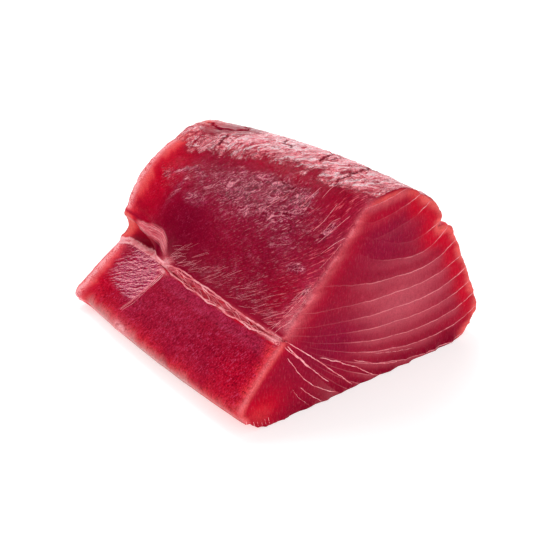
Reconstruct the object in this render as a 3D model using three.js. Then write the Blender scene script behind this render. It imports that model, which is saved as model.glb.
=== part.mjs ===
// A boneless piece of raw tuna loin, cut square across at both ends. Its cross-section is a
// leaning, rounded triangle that lies on a flat base. One long side slopes down from a blunt
// ridge to a seam. Below the seam a narrower flap of the same muscle runs on down to the base.
// Near the back cut the seam opens into a small scooped hollow under the upper lobe.
//
// Millimetres. +Z is up and the base lies on z = 0. +X points out of the front cut, along the
// loin. +Y points across it, from the flap to the thick heel. The origin is under the middle.
import * as THREE from "three";

const LENGTH = 127; // front cut to back cut
const EDGE_ROUND = 1.8; // rounding where a cut face meets the long sides
const EDGE_RINGS = 3; // rings that make up that rounding
const PLAIN_RINGS = 23; // rings from the front rounding to the hollow
const HOLLOW_RINGS = 12; // rings along the hollow, which turns more sharply
const SHARP_BELOW = 8; // the rounding fades out below this height, so that the base stays flat
const CUT_MIDDLE = 35; // height of the point that each cut face's triangles meet at

const RIDGE_RISE = 3.8; // how far the ridge swells above a straight line between the cuts
const RIDGE_PEAK = 0.47; // where along the loin it swells most, from 0 at the front cut to 1
const SLOPE_SWELL = 1.2; // outward swell of the long slope, halfway along
const SIDE_SWELL = 2.5; // outward swell of the hidden long side, halfway along
const TOE_SWELL = 2.4; // outward swell of the flap's lower edge, halfway along

const SEAM_NARROW = 1.8; // channel between the upper lobe and the flap, where its sides close up
const SEAM_WIDE = 4.6; // and at its widest
const SEAM_DEPTH = 1.2;
const HOLLOW_START = 0.73; // where the seam begins to open into the hollow
const HOLLOW_RISE = 0.21; // share of the slope's width that the hollow's arched mouth takes
const HOLLOW_LIP = 1; // how far the mouth's upper lip flares out from the slope
const HOLLOW_DEPTH = 5.5;
const HOLLOW_DEEPEST = 0.86;
const HOLLOW_END = 0.35; // share of that depth left at the back cut

const NICK_DEPTH = 3; // split between two muscle layers in the ridge's far side
const NICK_SHALLOW = -2; // where the split has closed its corner stands out by this much
const NICK_REACH = 0.35; // how far along the loin the split runs before it closes
const TIP_LENGTH = 2.5; // small tip that the flap's outer edge draws out to at the back cut
const TIP_REACH = 0.07;

// Corners of the cross-section as [across, up] at the front cut and at the back cut. They go
// round anticlockwise as seen from the front. round is the length that the corner takes from
// the edges beside it, arc the steps round it, edge the steps to the next corner, and bow
// how far that next edge swells outwards at each cut.
const CORNERS = [
  { name: "toeUnder", front: [-54, 0], back: [-53, 0], round: 7, arc: 4, edge: 12, bow: [0, 0] },
  { name: "heelUnder", front: [55.5, 0], back: [48, 0], round: 9, arc: 4, edge: 2, bow: [0.6, 0.6] },
  { name: "heel", front: [65.9, 10.5], back: [58, 10], round: 10, arc: 5, edge: 11, bow: [0.6, 1.6] },
  { name: "sideTop", front: [43.6, 56.8], back: [39, 53], round: 2.5, arc: 3, edge: 2, bow: [0, 0] },
  { name: "nick", front: [39, 57.8], back: [38, 56], round: 1.5, arc: 2, edge: 2, bow: [0, 0] },
  { name: "lobeSide", front: [39.8, 62], back: [37, 58.5], round: 3, arc: 3, edge: 5, bow: [1.4, 2] },
  { name: "crown", front: [19.5, 79.4], back: [16, 72.8], round: 7, arc: 5, edge: 3, bow: [0.2, 0.3] },
  { name: "shoulder", front: [-1.5, 77.8], back: [0, 71.2], round: 6, arc: 6, edge: 13, bow: [-0.6, 6.8] },
  { name: "lobeEdge", front: [-41, 36], back: [-35.6, 28.5], round: 2, arc: 4, edge: 5, bow: [0, 0] },
  { name: "seam", front: [-42.3, 33.6], back: [-34.8, 26.6], round: 1.4, arc: 3, edge: 7, bow: [0.5, 0.2] },
  { name: "toe", front: [-64.2, 9.5], back: [-60.6, 6.5], round: 6, arc: 5, edge: 2, bow: [0.6, 0.6] },
];

const mix = (a, b, t) => a + (b - a) * t;
const smooth = (t) => {
  const c = Math.min(1, Math.max(0, t));
  return c * c * (3 - 2 * c);
};

// 0 at both cuts and 1 at the peak, without a corner between.
function hump(t, peak) {
  const u = t < peak ? t / peak : (1 - t) / (1 - peak);
  return 1 - (1 - u) ** 2;
}

// How far the seam has opened into the hollow, as an arch that rises fast and then levels.
function opening(t) {
  const u = Math.min(1, Math.max(0, (t - HOLLOW_START) / (1 - HOLLOW_START)));
  return Math.sqrt(1 - (1 - u) ** 2);
}

// Depth of the hollow, which scoops in and runs out again towards the back cut.
function hollowDepth(t) {
  if (t < HOLLOW_DEEPEST) {
    return HOLLOW_DEPTH * smooth((t - HOLLOW_START) / (HOLLOW_DEEPEST - HOLLOW_START));
  }
  return HOLLOW_DEPTH * mix(1, HOLLOW_END, smooth((t - HOLLOW_DEEPEST) / (1 - HOLLOW_DEEPEST)));
}

// The corners of the section at t, by name and in order round it.
function cornersAt(t) {
  const corners = {};
  for (const { name, front, back, round, arc, edge, bow } of CORNERS) {
    const at = new THREE.Vector2(mix(front[0], back[0], t), mix(front[1], back[1], t));
    corners[name] = { at, round, arc, edge, bow: mix(bow[0], bow[1], t) };
  }
  const { crown, shoulder, lobeSide, heel, nick, lobeEdge, seam, toe, toeUnder } = corners;
  const middle = hump(t, 0.5);

  const rise = RIDGE_RISE * hump(t, RIDGE_PEAK);
  crown.at.y += rise;
  shoulder.at.y += rise;
  lobeSide.at.y += rise / 2;
  shoulder.bow += SLOPE_SWELL * middle;
  heel.bow += SIDE_SWELL * middle;
  toe.at.x -= TOE_SWELL * middle + TIP_LENGTH * smooth((t - 1 + TIP_REACH) / TIP_REACH);
  toeUnder.at.x -= TOE_SWELL * middle;
  nick.at.x -= mix(NICK_DEPTH, NICK_SHALLOW, smooth(t / NICK_REACH));

  const width = mix(SEAM_NARROW, SEAM_WIDE, hump(Math.min(1, t / HOLLOW_START), 0.5));
  seam.at.x -= width * Math.SQRT1_2;
  seam.at.y -= width * Math.SQRT1_2;

  // The slope keeps its own curve, which the hollow only cuts short.
  const kept = 1 - HOLLOW_RISE * opening(t);
  lobeEdge.at = onEdge(shoulder.at, lobeEdge.at, kept, shoulder.bow);
  lobeEdge.at.x -= HOLLOW_LIP * opening(t);
  lobeEdge.bow -= SEAM_DEPTH + hollowDepth(t);
  shoulder.bow *= kept ** 2;
  return Object.values(corners);
}

// The point a share u along a straight edge that swells outwards by bow.
function onEdge(from, to, u, bow) {
  const along = to.clone().sub(from);
  const outward = new THREE.Vector2(along.y, -along.x).normalize();
  return from.clone().addScaledVector(along, u).addScaledVector(outward, 4 * bow * u * (1 - u));
}

// A closed outline of [y, z] points, with each corner rounded and each edge stepped and bowed.
function sectionAt(t) {
  const corners = cornersAt(t);
  const towards = (from, to, reach) => {
    const step = to.clone().sub(from);
    return from.clone().addScaledVector(step, Math.min(reach / step.length(), 0.45));
  };
  const arcs = corners.map((corner, i) => {
    const before = corners[(i + corners.length - 1) % corners.length].at;
    const after = corners[(i + 1) % corners.length].at;
    const start = towards(corner.at, before, corner.round);
    const end = towards(corner.at, after, corner.round);
    return new THREE.QuadraticBezierCurve(start, corner.at, end).getPoints(corner.arc);
  });
  const outline = [];
  arcs.forEach((arc, i) => {
    outline.push(...arc);
    const next = arcs[(i + 1) % arcs.length][0];
    const { edge, bow } = corners[i];
    for (let k = 1; k < edge; k++) {
      outline.push(onEdge(arc[arc.length - 1], next, k / edge, bow));
    }
  });
  return outline;
}

// Draws an outline in towards its middle, keeping its number of points and its flat base.
function drawnIn(outline, distance) {
  const middle = new THREE.Vector2(0, CUT_MIDDLE);
  return outline.map((point) => {
    const inward = middle.clone().sub(point).normalize();
    return point.clone().addScaledVector(inward, distance * smooth(point.y / SHARP_BELOW));
  });
}

// Places along the loin where a ring is made: x, and how far its outline is drawn in there.
function ringPlaces() {
  const half = LENGTH / 2;
  const rounding = [];
  for (let k = 0; k < EDGE_RINGS; k++) {
    const angle = (Math.PI / 2) * (k / EDGE_RINGS);
    rounding.push({ in: EDGE_ROUND * (1 - Math.sin(angle)), back: EDGE_ROUND * (1 - Math.cos(angle)) });
  }
  const places = rounding.map((r) => ({ x: half - r.back, in: r.in }));
  const hollowX = half - LENGTH * HOLLOW_START;
  for (let k = 0; k < PLAIN_RINGS; k++) {
    places.push({ x: mix(half - EDGE_ROUND, hollowX, k / PLAIN_RINGS), in: 0 });
  }
  for (let k = 0; k <= HOLLOW_RINGS; k++) {
    places.push({ x: mix(hollowX, EDGE_ROUND - half, k / HOLLOW_RINGS), in: 0 });
  }
  rounding.reverse().forEach((r) => places.push({ x: r.back - half, in: r.in }));
  return places;
}

// Joins the rings into one closed surface with its faces pointing out.
function loft(places) {
  const rings = places.map(({ x, in: distance }) => {
    const outline = drawnIn(sectionAt((LENGTH / 2 - x) / LENGTH), distance);
    return outline.map((p) => new THREE.Vector3(x, p.x, p.y));
  });
  const count = rings[0].length;
  const faces = [];
  for (let i = 0; i + 1 < rings.length; i++) {
    for (let j = 0; j < count; j++) {
      const a = i * count + j;
      const b = i * count + ((j + 1) % count);
      faces.push(a, a + count, b, b, a + count, b + count);
    }
  }
  const points = rings.flat();
  for (const [first, flip] of [[0, false], [(rings.length - 1) * count, true]]) {
    const middle = points.push(new THREE.Vector3(points[first].x, 0, CUT_MIDDLE)) - 1;
    for (let j = 0; j < count; j++) {
      const pair = [first + j, first + ((j + 1) % count)];
      faces.push(middle, ...(flip ? pair.reverse() : pair));
    }
  }
  const geometry = new THREE.BufferGeometry().setFromPoints(points);
  geometry.setIndex(faces);
  return geometry;
}

// Moves a shape sideways until its origin is under the middle of its bounding box.
function centred(geometry) {
  geometry.computeBoundingBox();
  const middle = geometry.boundingBox.getCenter(new THREE.Vector3());
  geometry.translate(-middle.x, -middle.y, 0);
  geometry.computeVertexNormals();
  return geometry;
}

const flesh = new THREE.MeshStandardMaterial({ color: 0xa3152f, roughness: 0.35, metalness: 0 });
const loin = new THREE.Mesh(centred(loft(ringPlaces())), flesh);
loin.name = "loin";

const part = new THREE.Group();
part.add(loin);

export default part;
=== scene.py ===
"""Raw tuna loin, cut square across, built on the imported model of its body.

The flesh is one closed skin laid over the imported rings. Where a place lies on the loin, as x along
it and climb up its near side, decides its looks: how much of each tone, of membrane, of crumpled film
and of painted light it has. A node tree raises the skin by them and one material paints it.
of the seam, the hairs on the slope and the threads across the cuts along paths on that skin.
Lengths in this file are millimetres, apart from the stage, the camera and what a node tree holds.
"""
import math

import bmesh
import bpy
import numpy as np
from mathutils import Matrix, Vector
from mathutils.geometry import delaunay_2d_cdt


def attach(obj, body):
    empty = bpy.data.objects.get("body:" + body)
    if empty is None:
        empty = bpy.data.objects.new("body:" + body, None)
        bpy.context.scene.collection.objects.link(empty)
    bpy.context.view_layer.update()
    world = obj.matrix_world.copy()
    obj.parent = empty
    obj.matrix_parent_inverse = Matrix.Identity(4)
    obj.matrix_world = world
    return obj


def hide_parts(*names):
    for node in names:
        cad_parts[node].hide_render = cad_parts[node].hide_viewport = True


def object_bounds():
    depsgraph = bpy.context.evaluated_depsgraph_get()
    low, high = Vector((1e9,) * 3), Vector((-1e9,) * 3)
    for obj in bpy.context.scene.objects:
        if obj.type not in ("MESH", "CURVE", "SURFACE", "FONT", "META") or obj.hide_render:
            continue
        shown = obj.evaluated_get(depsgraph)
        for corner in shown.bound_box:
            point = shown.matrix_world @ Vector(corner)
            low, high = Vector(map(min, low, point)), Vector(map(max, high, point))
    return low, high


bl_info = {
    "name": "Tuna loin",
    "version": (1, 0, 0),
    "blender": (4, 5, 0),
    "location": "View3D > Sidebar > Tuna loin",
    "description": "Makes a raw tuna loin with cut faces, seam, membrane and studio stage",
    "category": "Object",
}

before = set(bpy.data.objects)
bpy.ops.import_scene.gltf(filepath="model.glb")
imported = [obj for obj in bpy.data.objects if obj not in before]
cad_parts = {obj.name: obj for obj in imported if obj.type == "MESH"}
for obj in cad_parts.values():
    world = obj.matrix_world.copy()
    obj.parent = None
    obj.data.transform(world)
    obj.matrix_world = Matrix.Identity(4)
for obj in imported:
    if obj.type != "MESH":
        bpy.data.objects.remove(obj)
CAD_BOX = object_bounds()

MM = 0.001
BODY = "root"
NODE = "loin"

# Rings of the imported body: each has a point for every number from 0 to RING_POINTS - 1, going
# round from where the flap turns under. MIDDLE is the [y, z] that the cuts' triangles meet at, and
# the numbers below it are those at which corners of the section begin.
RING_POINTS = 108
MIDDLE = (-0.288, 35.0)
BASE_FIRST = 4
CLIMB_ZERO = 3
HEEL_UNDER = 16
SIDE_TOP = 38
LOBE_SIDE = 47
CROWN = 55
SHOULDER = 63
LOBE_EDGE = 82
SEAM = 91
FLAP = 94
TOE = 101
HALF_LENGTH = 63.5
EDGE_ROUND = 1.8

# Mesh spacing on the front and back cuts, as shares of the spacing on the near side.
FRONT_COARSER = 1.15
BACK_COARSER = 1.6

# Climb is the distance up the skin from the foot of the flap: toe, flap, seam, slope and ridge.
TOE_CLIMB = 17.0
SEAM_CLIMB = 45.5
LIP_CLIMB = 51.0
FILM_CLIMB = 110.0
FILM_TOP = 160.0
FAR_CLIMB = 166.0

# Layers of muscle: how far apart along x and up the front cut they are, the lowest and highest of
# them, and the [y, z] that they gather at.
LAYER_PITCH_X = 6.0
LAYER_STEP = 6.9
LAYER_LOW = -9.0
LAYER_HIGH = 8.0
GATHER = (-42.0, 34.0)


def srgb(red, green, blue):
    """A colour from its 0 to 255 screen values."""
    return tuple(
        v / 12.92 if v <= 0.04045 else ((v + 0.055) / 1.055) ** 2.4
        for v in (red / 255, green / 255, blue / 255)
    )


def length_property(name, description, default):
    """A size in millimetres that a user may change."""
    return bpy.props.FloatProperty(
        name=name,
        description=description,
        default=default * MM,
        min=0,
        precision=5,
        subtype="DISTANCE",
        unit="LENGTH",
    )


def colour_property(name, description, default):
    """A colour that a user may change."""
    return bpy.props.FloatVectorProperty(
        name=name,
        description=description,
        default=srgb(*default),
        min=0,
        max=1,
        size=3,
        subtype="COLOR",
    )


class LoinSizes(bpy.types.PropertyGroup):
    """Sizes of the loin's surface detail."""

    grid: length_property("Grid", "Spacing of the skin's mesh on the near side", 0.7)
    swell: length_property("Swell", "Height of the broad unevenness", 0.55)
    swell_size: length_property("Swell size", "Width of the broad unevenness", 19)
    fold: length_property("Fold", "Height of the membrane's folds", 0.75)
    fold_size: length_property("Fold size", "Width of the membrane's folds", 3.2)
    ledge: length_property("Ledge", "Height of the crumpled ledges on the slope", 0.45)
    ledge_size: length_property("Ledge size", "Width of those ledges", 5)
    fibre: length_property("Fibre", "Depth of the grooves between muscle fibres", 0.16)
    layer_groove: length_property("Layer groove", "Depth of the grooves between layers", 0.6)
    hatch: length_property("Hatch", "Height of the ripples on the flap", 0.2)
    crack: length_property("Crack", "Depth of the cracks in the membrane", 0.7)
    foot: length_property("Foot", "How far the foot of a cut bulges out in places", 1.8)
    thread_wobble: length_property("Thread wobble", "How far threads stray from their path", 0.5)
    seed: bpy.props.IntProperty(name="Seed", description="Changes every uneven detail", default=3)


class LoinColours(bpy.types.PropertyGroup):
    """Colours of the flesh and its tissue."""

    flesh: colour_property("Flesh", "Main colour of the meat", (146, 10, 42))
    pink: colour_property("Pink", "Paler meat in the middle of a cut", (188, 80, 94))
    purple: colour_property("Purple", "Darker, bluer meat", (134, 8, 46))
    # Dark is also the colour of painted shade in creases, furrows, the hollow and along the foot of the
    # cut.
    dark: colour_property("Dark", "Deepest meat on the slope", (120, 0, 32))
    # Blood red is saturated meat, and at the back end of the slope also a painted glow of light shining
    # through.
    blood: colour_property("Blood red", "Saturated meat near the skin", (190, 0, 34))
    orange: colour_property("Orange", "Thin edges that light shines through", (234, 98, 94))
    # Vivid is a painted glow: light shining into the red just inside the thin edges.
    vivid: colour_property("Vivid", "Red just inside those edges", (216, 34, 52))
    # Haze is largely a painted sheen, the soft lights reflected in the wet slope, over a bluish tone of the
    # meat.
    haze: colour_property("Haze", "Dry bloom on the slope", (182, 62, 102))
    # Toe sheen is a painted sheen: the pale surroundings reflected, greyish, along the foot of the flap.
    rind: colour_property("Rind", "Dull pale skin along the foot of the flap", (204, 150, 148))
    film: colour_property("Membrane", "White-pink membrane on the ridge", (240, 156, 166))
    tissue: colour_property("Tissue", "Threads of connective tissue", (228, 96, 110))
    thread: colour_property("Thread", "Palest parts of the threads", (255, 176, 182))
    glint: colour_property("Glint", "Lit crests of the membrane", (247, 226, 230))
    septum: colour_property("Septum", "Fine lines between layers in a cut", (210, 112, 122))


class LoinStage(bpy.types.PropertyGroup):
    """Floor and light levels."""

    floor: bpy.props.FloatProperty(
        name="Floor", description="Width of the floor", default=30, unit="LENGTH"
    )
    key: bpy.props.FloatProperty(name="Key", description="Power of the left light", default=0.8)
    back: bpy.props.FloatProperty(name="Back", description="Power of the back light", default=4.0)
    top: bpy.props.FloatProperty(name="Top", description="Power of the top light", default=3.2)
    fill: bpy.props.FloatProperty(name="Fill", description="Power of the front light", default=3.6)
    floor_glow: bpy.props.FloatProperty(
        name="Floor glow", description="Light the floor gives off", default=0.52
    )
    world: bpy.props.FloatProperty(name="World", description="Strength of the sky", default=0.62)
    sheen: bpy.props.FloatProperty(
        name="Sky gloss", description="Strength of the sky in reflections", default=0.02
    )


# ---------------------------------------------------------------- shapes in numbers


def step(low, high, value):
    """0 below low, 1 above high, and smooth between."""
    t = np.clip((value - low) / (high - low), 0, 1)
    return t * t * (3 - 2 * t)


def band(low, high, soft, value):
    """1 between low and high, falling to 0 over soft on each side."""
    return step(low - soft, low, value) * (1 - step(high, high + soft, value))


def blob(u, v, centre, reach):
    """1 at a centre, falling off smoothly over reach in each direction."""
    return np.exp(-(((u - centre[0]) / reach[0]) ** 2) - ((v - centre[1]) / reach[1]) ** 2)


def fade(gap, reach):
    """1 where a gap closes, falling off smoothly over reach."""
    return np.exp(-((gap / reach) ** 2))


def along_line(place, points):
    """Value at each place on a line through [place, value] points."""
    return np.interp(place, *zip(*points))


def wander(place, length, seed):
    """An uneven line about 0, between -1 and 1, whose longest waves have a length."""
    rng = np.random.default_rng(seed)
    total = np.zeros_like(place)
    for share in (1, 0.62, 0.37, 0.21, 0.12):
        total += share**0.6 * np.sin(2 * math.pi * (place / (length * share) + rng.uniform()))
    return total / 3


def tangents(points, lengths, closed):
    """Direction of a smooth curve at each of its points, which lie along axis 1."""
    after = np.roll(points, -1, axis=1) - points
    after = after / lengths[..., None]
    before = np.roll(after, 1, axis=1)
    weight = np.roll(lengths, 1, axis=1)
    weight = (weight / (weight + lengths))[..., None]
    result = after * weight + before * (1 - weight)
    if not closed:
        result[:, 0] = after[:, 0]
        result[:, -1] = before[:, -1]
    return result


def between(points, directions, lengths, places):
    """Points on the smooth curve at places, each a whole number of points plus a fraction."""
    count = points.shape[1]
    first = np.floor(places).astype(int)
    f = (places - first)[None, :, None]
    first = first % count
    second = (first + 1) % count
    length = lengths[:, first][..., None]
    return (
        points[:, first] * (2 * f**3 - 3 * f**2 + 1)
        + directions[:, first] * length * (f**3 - 2 * f**2 + f)
        + points[:, second] * (3 * f**2 - 2 * f**3)
        + directions[:, second] * length * (f**3 - f**2)
    )


def read_rings():
    """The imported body's rings, as [ring, point, xyz] in millimetres, from the front cut back."""
    mesh = bmesh.new()
    mesh.from_mesh(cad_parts[NODE].data)
    bmesh.ops.remove_doubles(mesh, verts=mesh.verts, dist=2e-6)
    by_x = {}
    for vert in mesh.verts:
        if math.hypot(vert.co.y / MM - MIDDLE[0], vert.co.z / MM - MIDDLE[1]) > 1:
            by_x.setdefault(round(vert.co.x / MM, 2), set()).add(vert)
    rings = []
    for x in sorted(by_x, reverse=True):
        members = by_x[x]
        first = min((v for v in members if v.co.z < 1e-6), key=lambda v: v.co.y)
        beside = [e.other_vert(first) for e in first.link_edges if e.other_vert(first) in members]
        ring = [first, min(beside, key=lambda v: v.co.z)]
        while len(ring) < RING_POINTS:
            last = ring[-1]
            ahead = [e.other_vert(last) for e in last.link_edges]
            ahead = [v for v in ahead if v in members and v not in ring]
            ring.append(min(ahead, key=lambda v: (v.co - last.co).length))
        if len(members) != RING_POINTS:
            raise RuntimeError(f"the ring at {x} mm does not close")
        rings.append(np.roll([v.co[:] for v in ring], BASE_FIRST, axis=0) / MM)
    mesh.free()
    return np.array(rings)


def spaced(lengths, spacings):
    """Places along points that stand lengths apart, so that steps are at most spacings."""
    places = []
    for i, (length, spacing) in enumerate(zip(lengths, spacings)):
        count = max(1, math.ceil(length / spacing))
        places.extend(i + np.arange(count) / count)
    return np.array(places)


class Skin:
    """The long sides as a grid of points [row, column], rows running from the front cut back."""

    def __init__(self, spacing):
        rings = read_rings()
        lengths = np.linalg.norm(np.roll(rings, -1, axis=1) - rings, axis=2)
        spacings = np.full(RING_POINTS, spacing)
        spacings[BASE_FIRST + 1 : HEEL_UNDER] = 3.6 * spacing
        spacings[HEEL_UNDER:SIDE_TOP] = 1.35 * spacing
        self.ring_place = spaced(lengths.mean(axis=0), spacings)
        columns = between(rings, tangents(rings, lengths, True), lengths, self.ring_place)

        along = columns.transpose(1, 0, 2)
        lengths = np.linalg.norm(np.diff(along, axis=1), axis=2).mean(axis=0)
        row_place = np.append(spaced(lengths, np.full(len(lengths), spacing)), len(lengths))
        lengths = np.append(lengths, lengths[-1])[None, :].repeat(len(along), axis=0)
        grid = between(along, tangents(along, lengths, False), lengths, row_place[:-1])
        last = along[:, -1:]
        self.points = np.concatenate([grid, last], axis=1).transpose(1, 0, 2)
        self.points[..., 2] = np.maximum(self.points[..., 2], 0)
        flat = (self.ring_place >= BASE_FIRST) & (self.ring_place <= HEEL_UNDER)
        self.points[:, flat, 2] = 0
        self.spread_lip()
        self.measure()

    def spread_lip(self):
        """Draws the hollow's wall out to its mouth where a membrane hangs from the slope's lip."""
        wall = np.flatnonzero((self.ring_place >= LOBE_EDGE + 2) & (self.ring_place <= SEAM))
        share = np.linspace(0, 1, len(wall))[None, :, None]
        x = self.points[:, 0, 0][:, None, None]
        weight = 0.95 * band(-47, -30, 5, x) * (1 - step(0.25, 0.55, share))
        lip, seam = self.points[:, wall[:1]], self.points[:, wall[-1:]]
        self.points[:, wall] += (lip + (seam - lip) * share - self.points[:, wall]) * weight

    def measure(self):
        """Finds each point's climb."""
        zero = int(np.argmin(np.abs(self.ring_place - CLIMB_ZERO)))
        count = self.points.shape[1]
        self.order = (zero - np.arange(count)) % count
        up = self.points[:, self.order]
        rise = np.linalg.norm(np.diff(up, axis=1), axis=2)
        climb = np.concatenate([np.zeros((len(up), 1)), np.cumsum(rise, axis=1)], axis=1)
        self.climb = np.empty_like(climb)
        self.climb[:, self.order] = climb
        self.x = self.points[:, 0, 0]

    def at(self, x, climb):
        """The point on the skin at x along the loin and at a climb."""
        row = np.interp(-x, -self.x, np.arange(len(self.x)))
        low = min(int(row), len(self.x) - 2)
        f = row - low
        found = []
        for r in (low, low + 1):
            c = self.climb[r, self.order]
            p = self.points[r, self.order]
            found.append(np.array([np.interp(climb, c, p[:, k]) for k in range(3)]))
        return found[0] * (1 - f) + found[1] * f

    def stretch(self, row, first, last):
        """The outline of one row between two ring numbers, as [y, z] points."""
        chosen = (self.ring_place >= first) & (self.ring_place <= last)
        return self.points[row, chosen, 1:]


def distance_to(points, line):
    """How far each [y, z] point is from a line of points."""
    start, end = line[:-1], line[1:]
    along = end - start
    size = np.maximum((along**2).sum(axis=1), 1e-9)
    nearest = np.full(len(points), 1e9)
    for a, d, n in zip(start, along, size):
        t = np.clip(((points - a) @ d) / n, 0, 1)
        gap = points - a - t[:, None] * d
        nearest = np.minimum(nearest, (gap**2).sum(axis=1))
    return np.sqrt(nearest)


def fill_cut(outline, spacing, seed):
    """Points inside a cut's outline and the triangles that join them to it."""
    centre = np.array(MIDDLE)
    angle = np.arctan2(outline[:, 1] - centre[1], outline[:, 0] - centre[0])
    reach = np.linalg.norm(outline - centre, axis=1)
    order = np.argsort(angle)
    low, high = outline.min(axis=0), outline.max(axis=0)
    rows = np.arange(low[1], high[1], spacing * math.sqrt(0.75))
    points = []
    for i, z in enumerate(rows):
        y = np.arange(low[0] + (i % 2) * spacing / 2, high[0], spacing)
        points.append(np.stack([y, np.full_like(y, z)], axis=1))
    points = np.concatenate(points)
    points += np.random.default_rng(seed).uniform(-0.12, 0.12, points.shape) * spacing
    from_centre = points - centre
    limit = np.interp(
        np.arctan2(from_centre[:, 1], from_centre[:, 0]), angle[order], reach[order], period=2 * math.pi
    )
    points = points[np.linalg.norm(from_centre, axis=1) < limit]
    loop = np.concatenate([outline, outline[:1]])
    points = points[distance_to(points, loop) > 0.6 * spacing]
    every = [Vector(p) for p in np.concatenate([outline, points])]
    made = delaunay_2d_cdt(every, [], [list(range(len(outline)))], 1, 1e-7)
    if len(made[0]) != len(every):
        raise RuntimeError("the cut's outline crosses itself")
    origin = [o[0] for o in made[3]]
    return points, [[origin[i] for i in face] for face in made[2]]


# ---------------------------------------------------------------- layers of muscle


def layer_height(n, y):
    """How high layer boundary n lies at y in the front cut."""
    lowest = GATHER[1] + 1 + LAYER_STEP * n
    turn = np.where(n < 0, 25 - 3.2 * n, 25 - 25 * step(2.5, 4.3, n))
    lift = 0.009 + 0.02 * np.exp(-(((n - 2) / 0.9) ** 2))
    right = lowest + lift * (y - turn) ** 2
    end = GATHER[1] + 4.6 * 2.3 ** (np.minimum(n, 3) + 1)
    share = np.clip((turn - y) / (turn - GATHER[0]), 0, 1.6)
    power = 2 + 0.08 * np.maximum(0, -4 - n)
    left = lowest + (end - lowest) * share**power
    return np.where(y > turn, right, left)


def layer_number(y, z):
    """The layer number at each [y, z] place, and the gap between boundaries there."""
    low = np.full_like(z, LAYER_LOW)
    high = np.full_like(z, LAYER_HIGH)
    for _ in range(26):
        middle = (low + high) / 2
        below = layer_height(middle, y) < z
        low = np.where(below, middle, low)
        high = np.where(below, high, middle)
    n = (low + high) / 2
    small = 0.05
    per_layer = (layer_height(n + small, y) - layer_height(n - small, y)) / (2 * small)
    slope = (layer_height(n, y + small) - layer_height(n, y - small)) / (2 * small)
    return n, np.abs(per_layer) / np.sqrt(1 + slope**2)


# ---------------------------------------------------------------- where each look lies

LOOKS = tuple(
    "pink purple dark blood orange haze film hatch pale septa glow "
    "streak frost mottle white lip ribbon free pleat rind cut".split()
)

# Cracks in the membrane: width, then [x, climb] points.
CRACKS = (
    (1.0, (42.3, 110), (41.5, 116), (41.5, 124), (40.5, 131), (34, 140), (25, 147), (12, 154)),
    (1.0, (24, 119), (22.5, 123), (21, 128), (16, 133), (9, 140), (0, 149), (-12, 156)),
    (0.7, (26.5, 122), (26, 127), (23, 132)),
    (0.8, (4, 121), (1, 121), (-3, 122), (-5, 125)),
    (0.9, (-29, 121), (-33, 118), (-36, 118), (-40, 120), (-46, 121.5), (-51, 120.5), (-57, 118.5)),
    (0.8, (-30, 121), (-35, 126), (-39, 131), (-43, 135), (-48, 138.5), (-55, 141), (-63.5, 143)),
    (1.2, (-32, 112), (-32.5, 108), (-31.5, 106)),
    (0.4, (29, 94), (31, 90.5), (34, 88.5), (37, 87.5), (38, 83)),
    (0.5, (17, 102.5), (22, 102), (26, 101.5)),
)
CRACKED = (85, 170)  # climbs between which those cracks lie
UNCRACKED = 50.0  # distance that stands for no crack near

# Where the ridge's membrane begins: [x, climb] points.
FILM_START = (
    (-63.5, 102.5), (-55, 104), (-47, 105), (-43, 104), (-38, 103), (-33, 102), (-28, 102),
    (-22, 103), (-8, 106), (0, 109), (8, 109), (12, 110), (18, 110), (26, 109), (28, 115),
    (31, 115), (33, 109), (42, 108), (43, 109), (63.5, 114),
)

# Where the pale line that carries on from the seam below the hollow runs: [x, climb] points.
TAIL = ((-63.5, 46.2), (-56, 45.8), (-50, 46.8), (-44, 47.6), (-24, 48))

# Upper and lower edges of the thin membrane that hangs from the hollow's lip: [x, climb] points.
LIP_TOP = ((-52, 62), (-46, 65.5), (-40, 64.5), (-36, 62), (-33, 60.5), (-29, 60), (-26, 58), (-23, 52))
LIP_BOTTOM = ((-52, 61), (-46, 62.6), (-42, 61.4), (-38, 58.6), (-34, 56.2), (-31, 55), (-23, 51))

# Paler patches on the slope: strength, [x, climb], half length and half width, and the turn from x.
PATCHES = (
    (0.6, (31.5, 97.5), (6.5, 3.4), 75),
    (0.5, (20, 100), (6.5, 2.2), 5),
    (0.7, (53.5, 93), (6, 1.7), 72),
    (0.4, (49.5, 75), (4.5, 2), 15),
    (0.6, (60, 70), (2.6, 1.4), 70),
    (0.5, (2, 90.5), (9, 1.8), 30),
    (0.4, (37, 100), (7, 0.9), 85),
    (0.35, (-33.5, 79), (9, 2), 78),
    (0.5, (-20, 80), (8, 3), 5),
    (0.4, (-32, 91), (8, 1.3), 0),
)

# Soft spots of a look: how much of it, [x, climb] of the middle, and the reach along x and climb.
# In FILM_HOLES the membrane is thin or torn away.
FILM_HOLES = (
    (0.3, (-46, 115), (9, 4)),
    (0.4, (-36, 118), (5, 3)),
    (0.2, (-60, 115), (7, 7)),
    (0.9, (-40, 125), (18, 8)),
    (0.5, (-44, 133), (12, 4)),
    (0.8, (42, 133), (6, 4)),
    (0.3, (2, 121), (3, 2.5)),
    (0.6, (24, 121), (1.5, 3)),
    (0.6, (39, 119), (1.6, 3)),
    (0.3, (56, 121), (9, 4)),
    (0.8, (-33, 118.5), (4, 2.6)),
    (0.8, (-40, 120.5), (5, 3)),
    (0.8, (-47, 121.5), (5, 2.8)),
    (0.7, (-54, 119.5), (4, 2.4)),
    (0.7, (-33, 124), (2.6, 3)),
    (0.7, (-37, 129), (2.6, 3.4)),
    (0.7, (-42, 134.5), (3.4, 2.6)),
    (0.7, (-49, 138.5), (5, 2.2)),
    (0.7, (-57, 141.5), (5, 2)),
)
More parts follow.
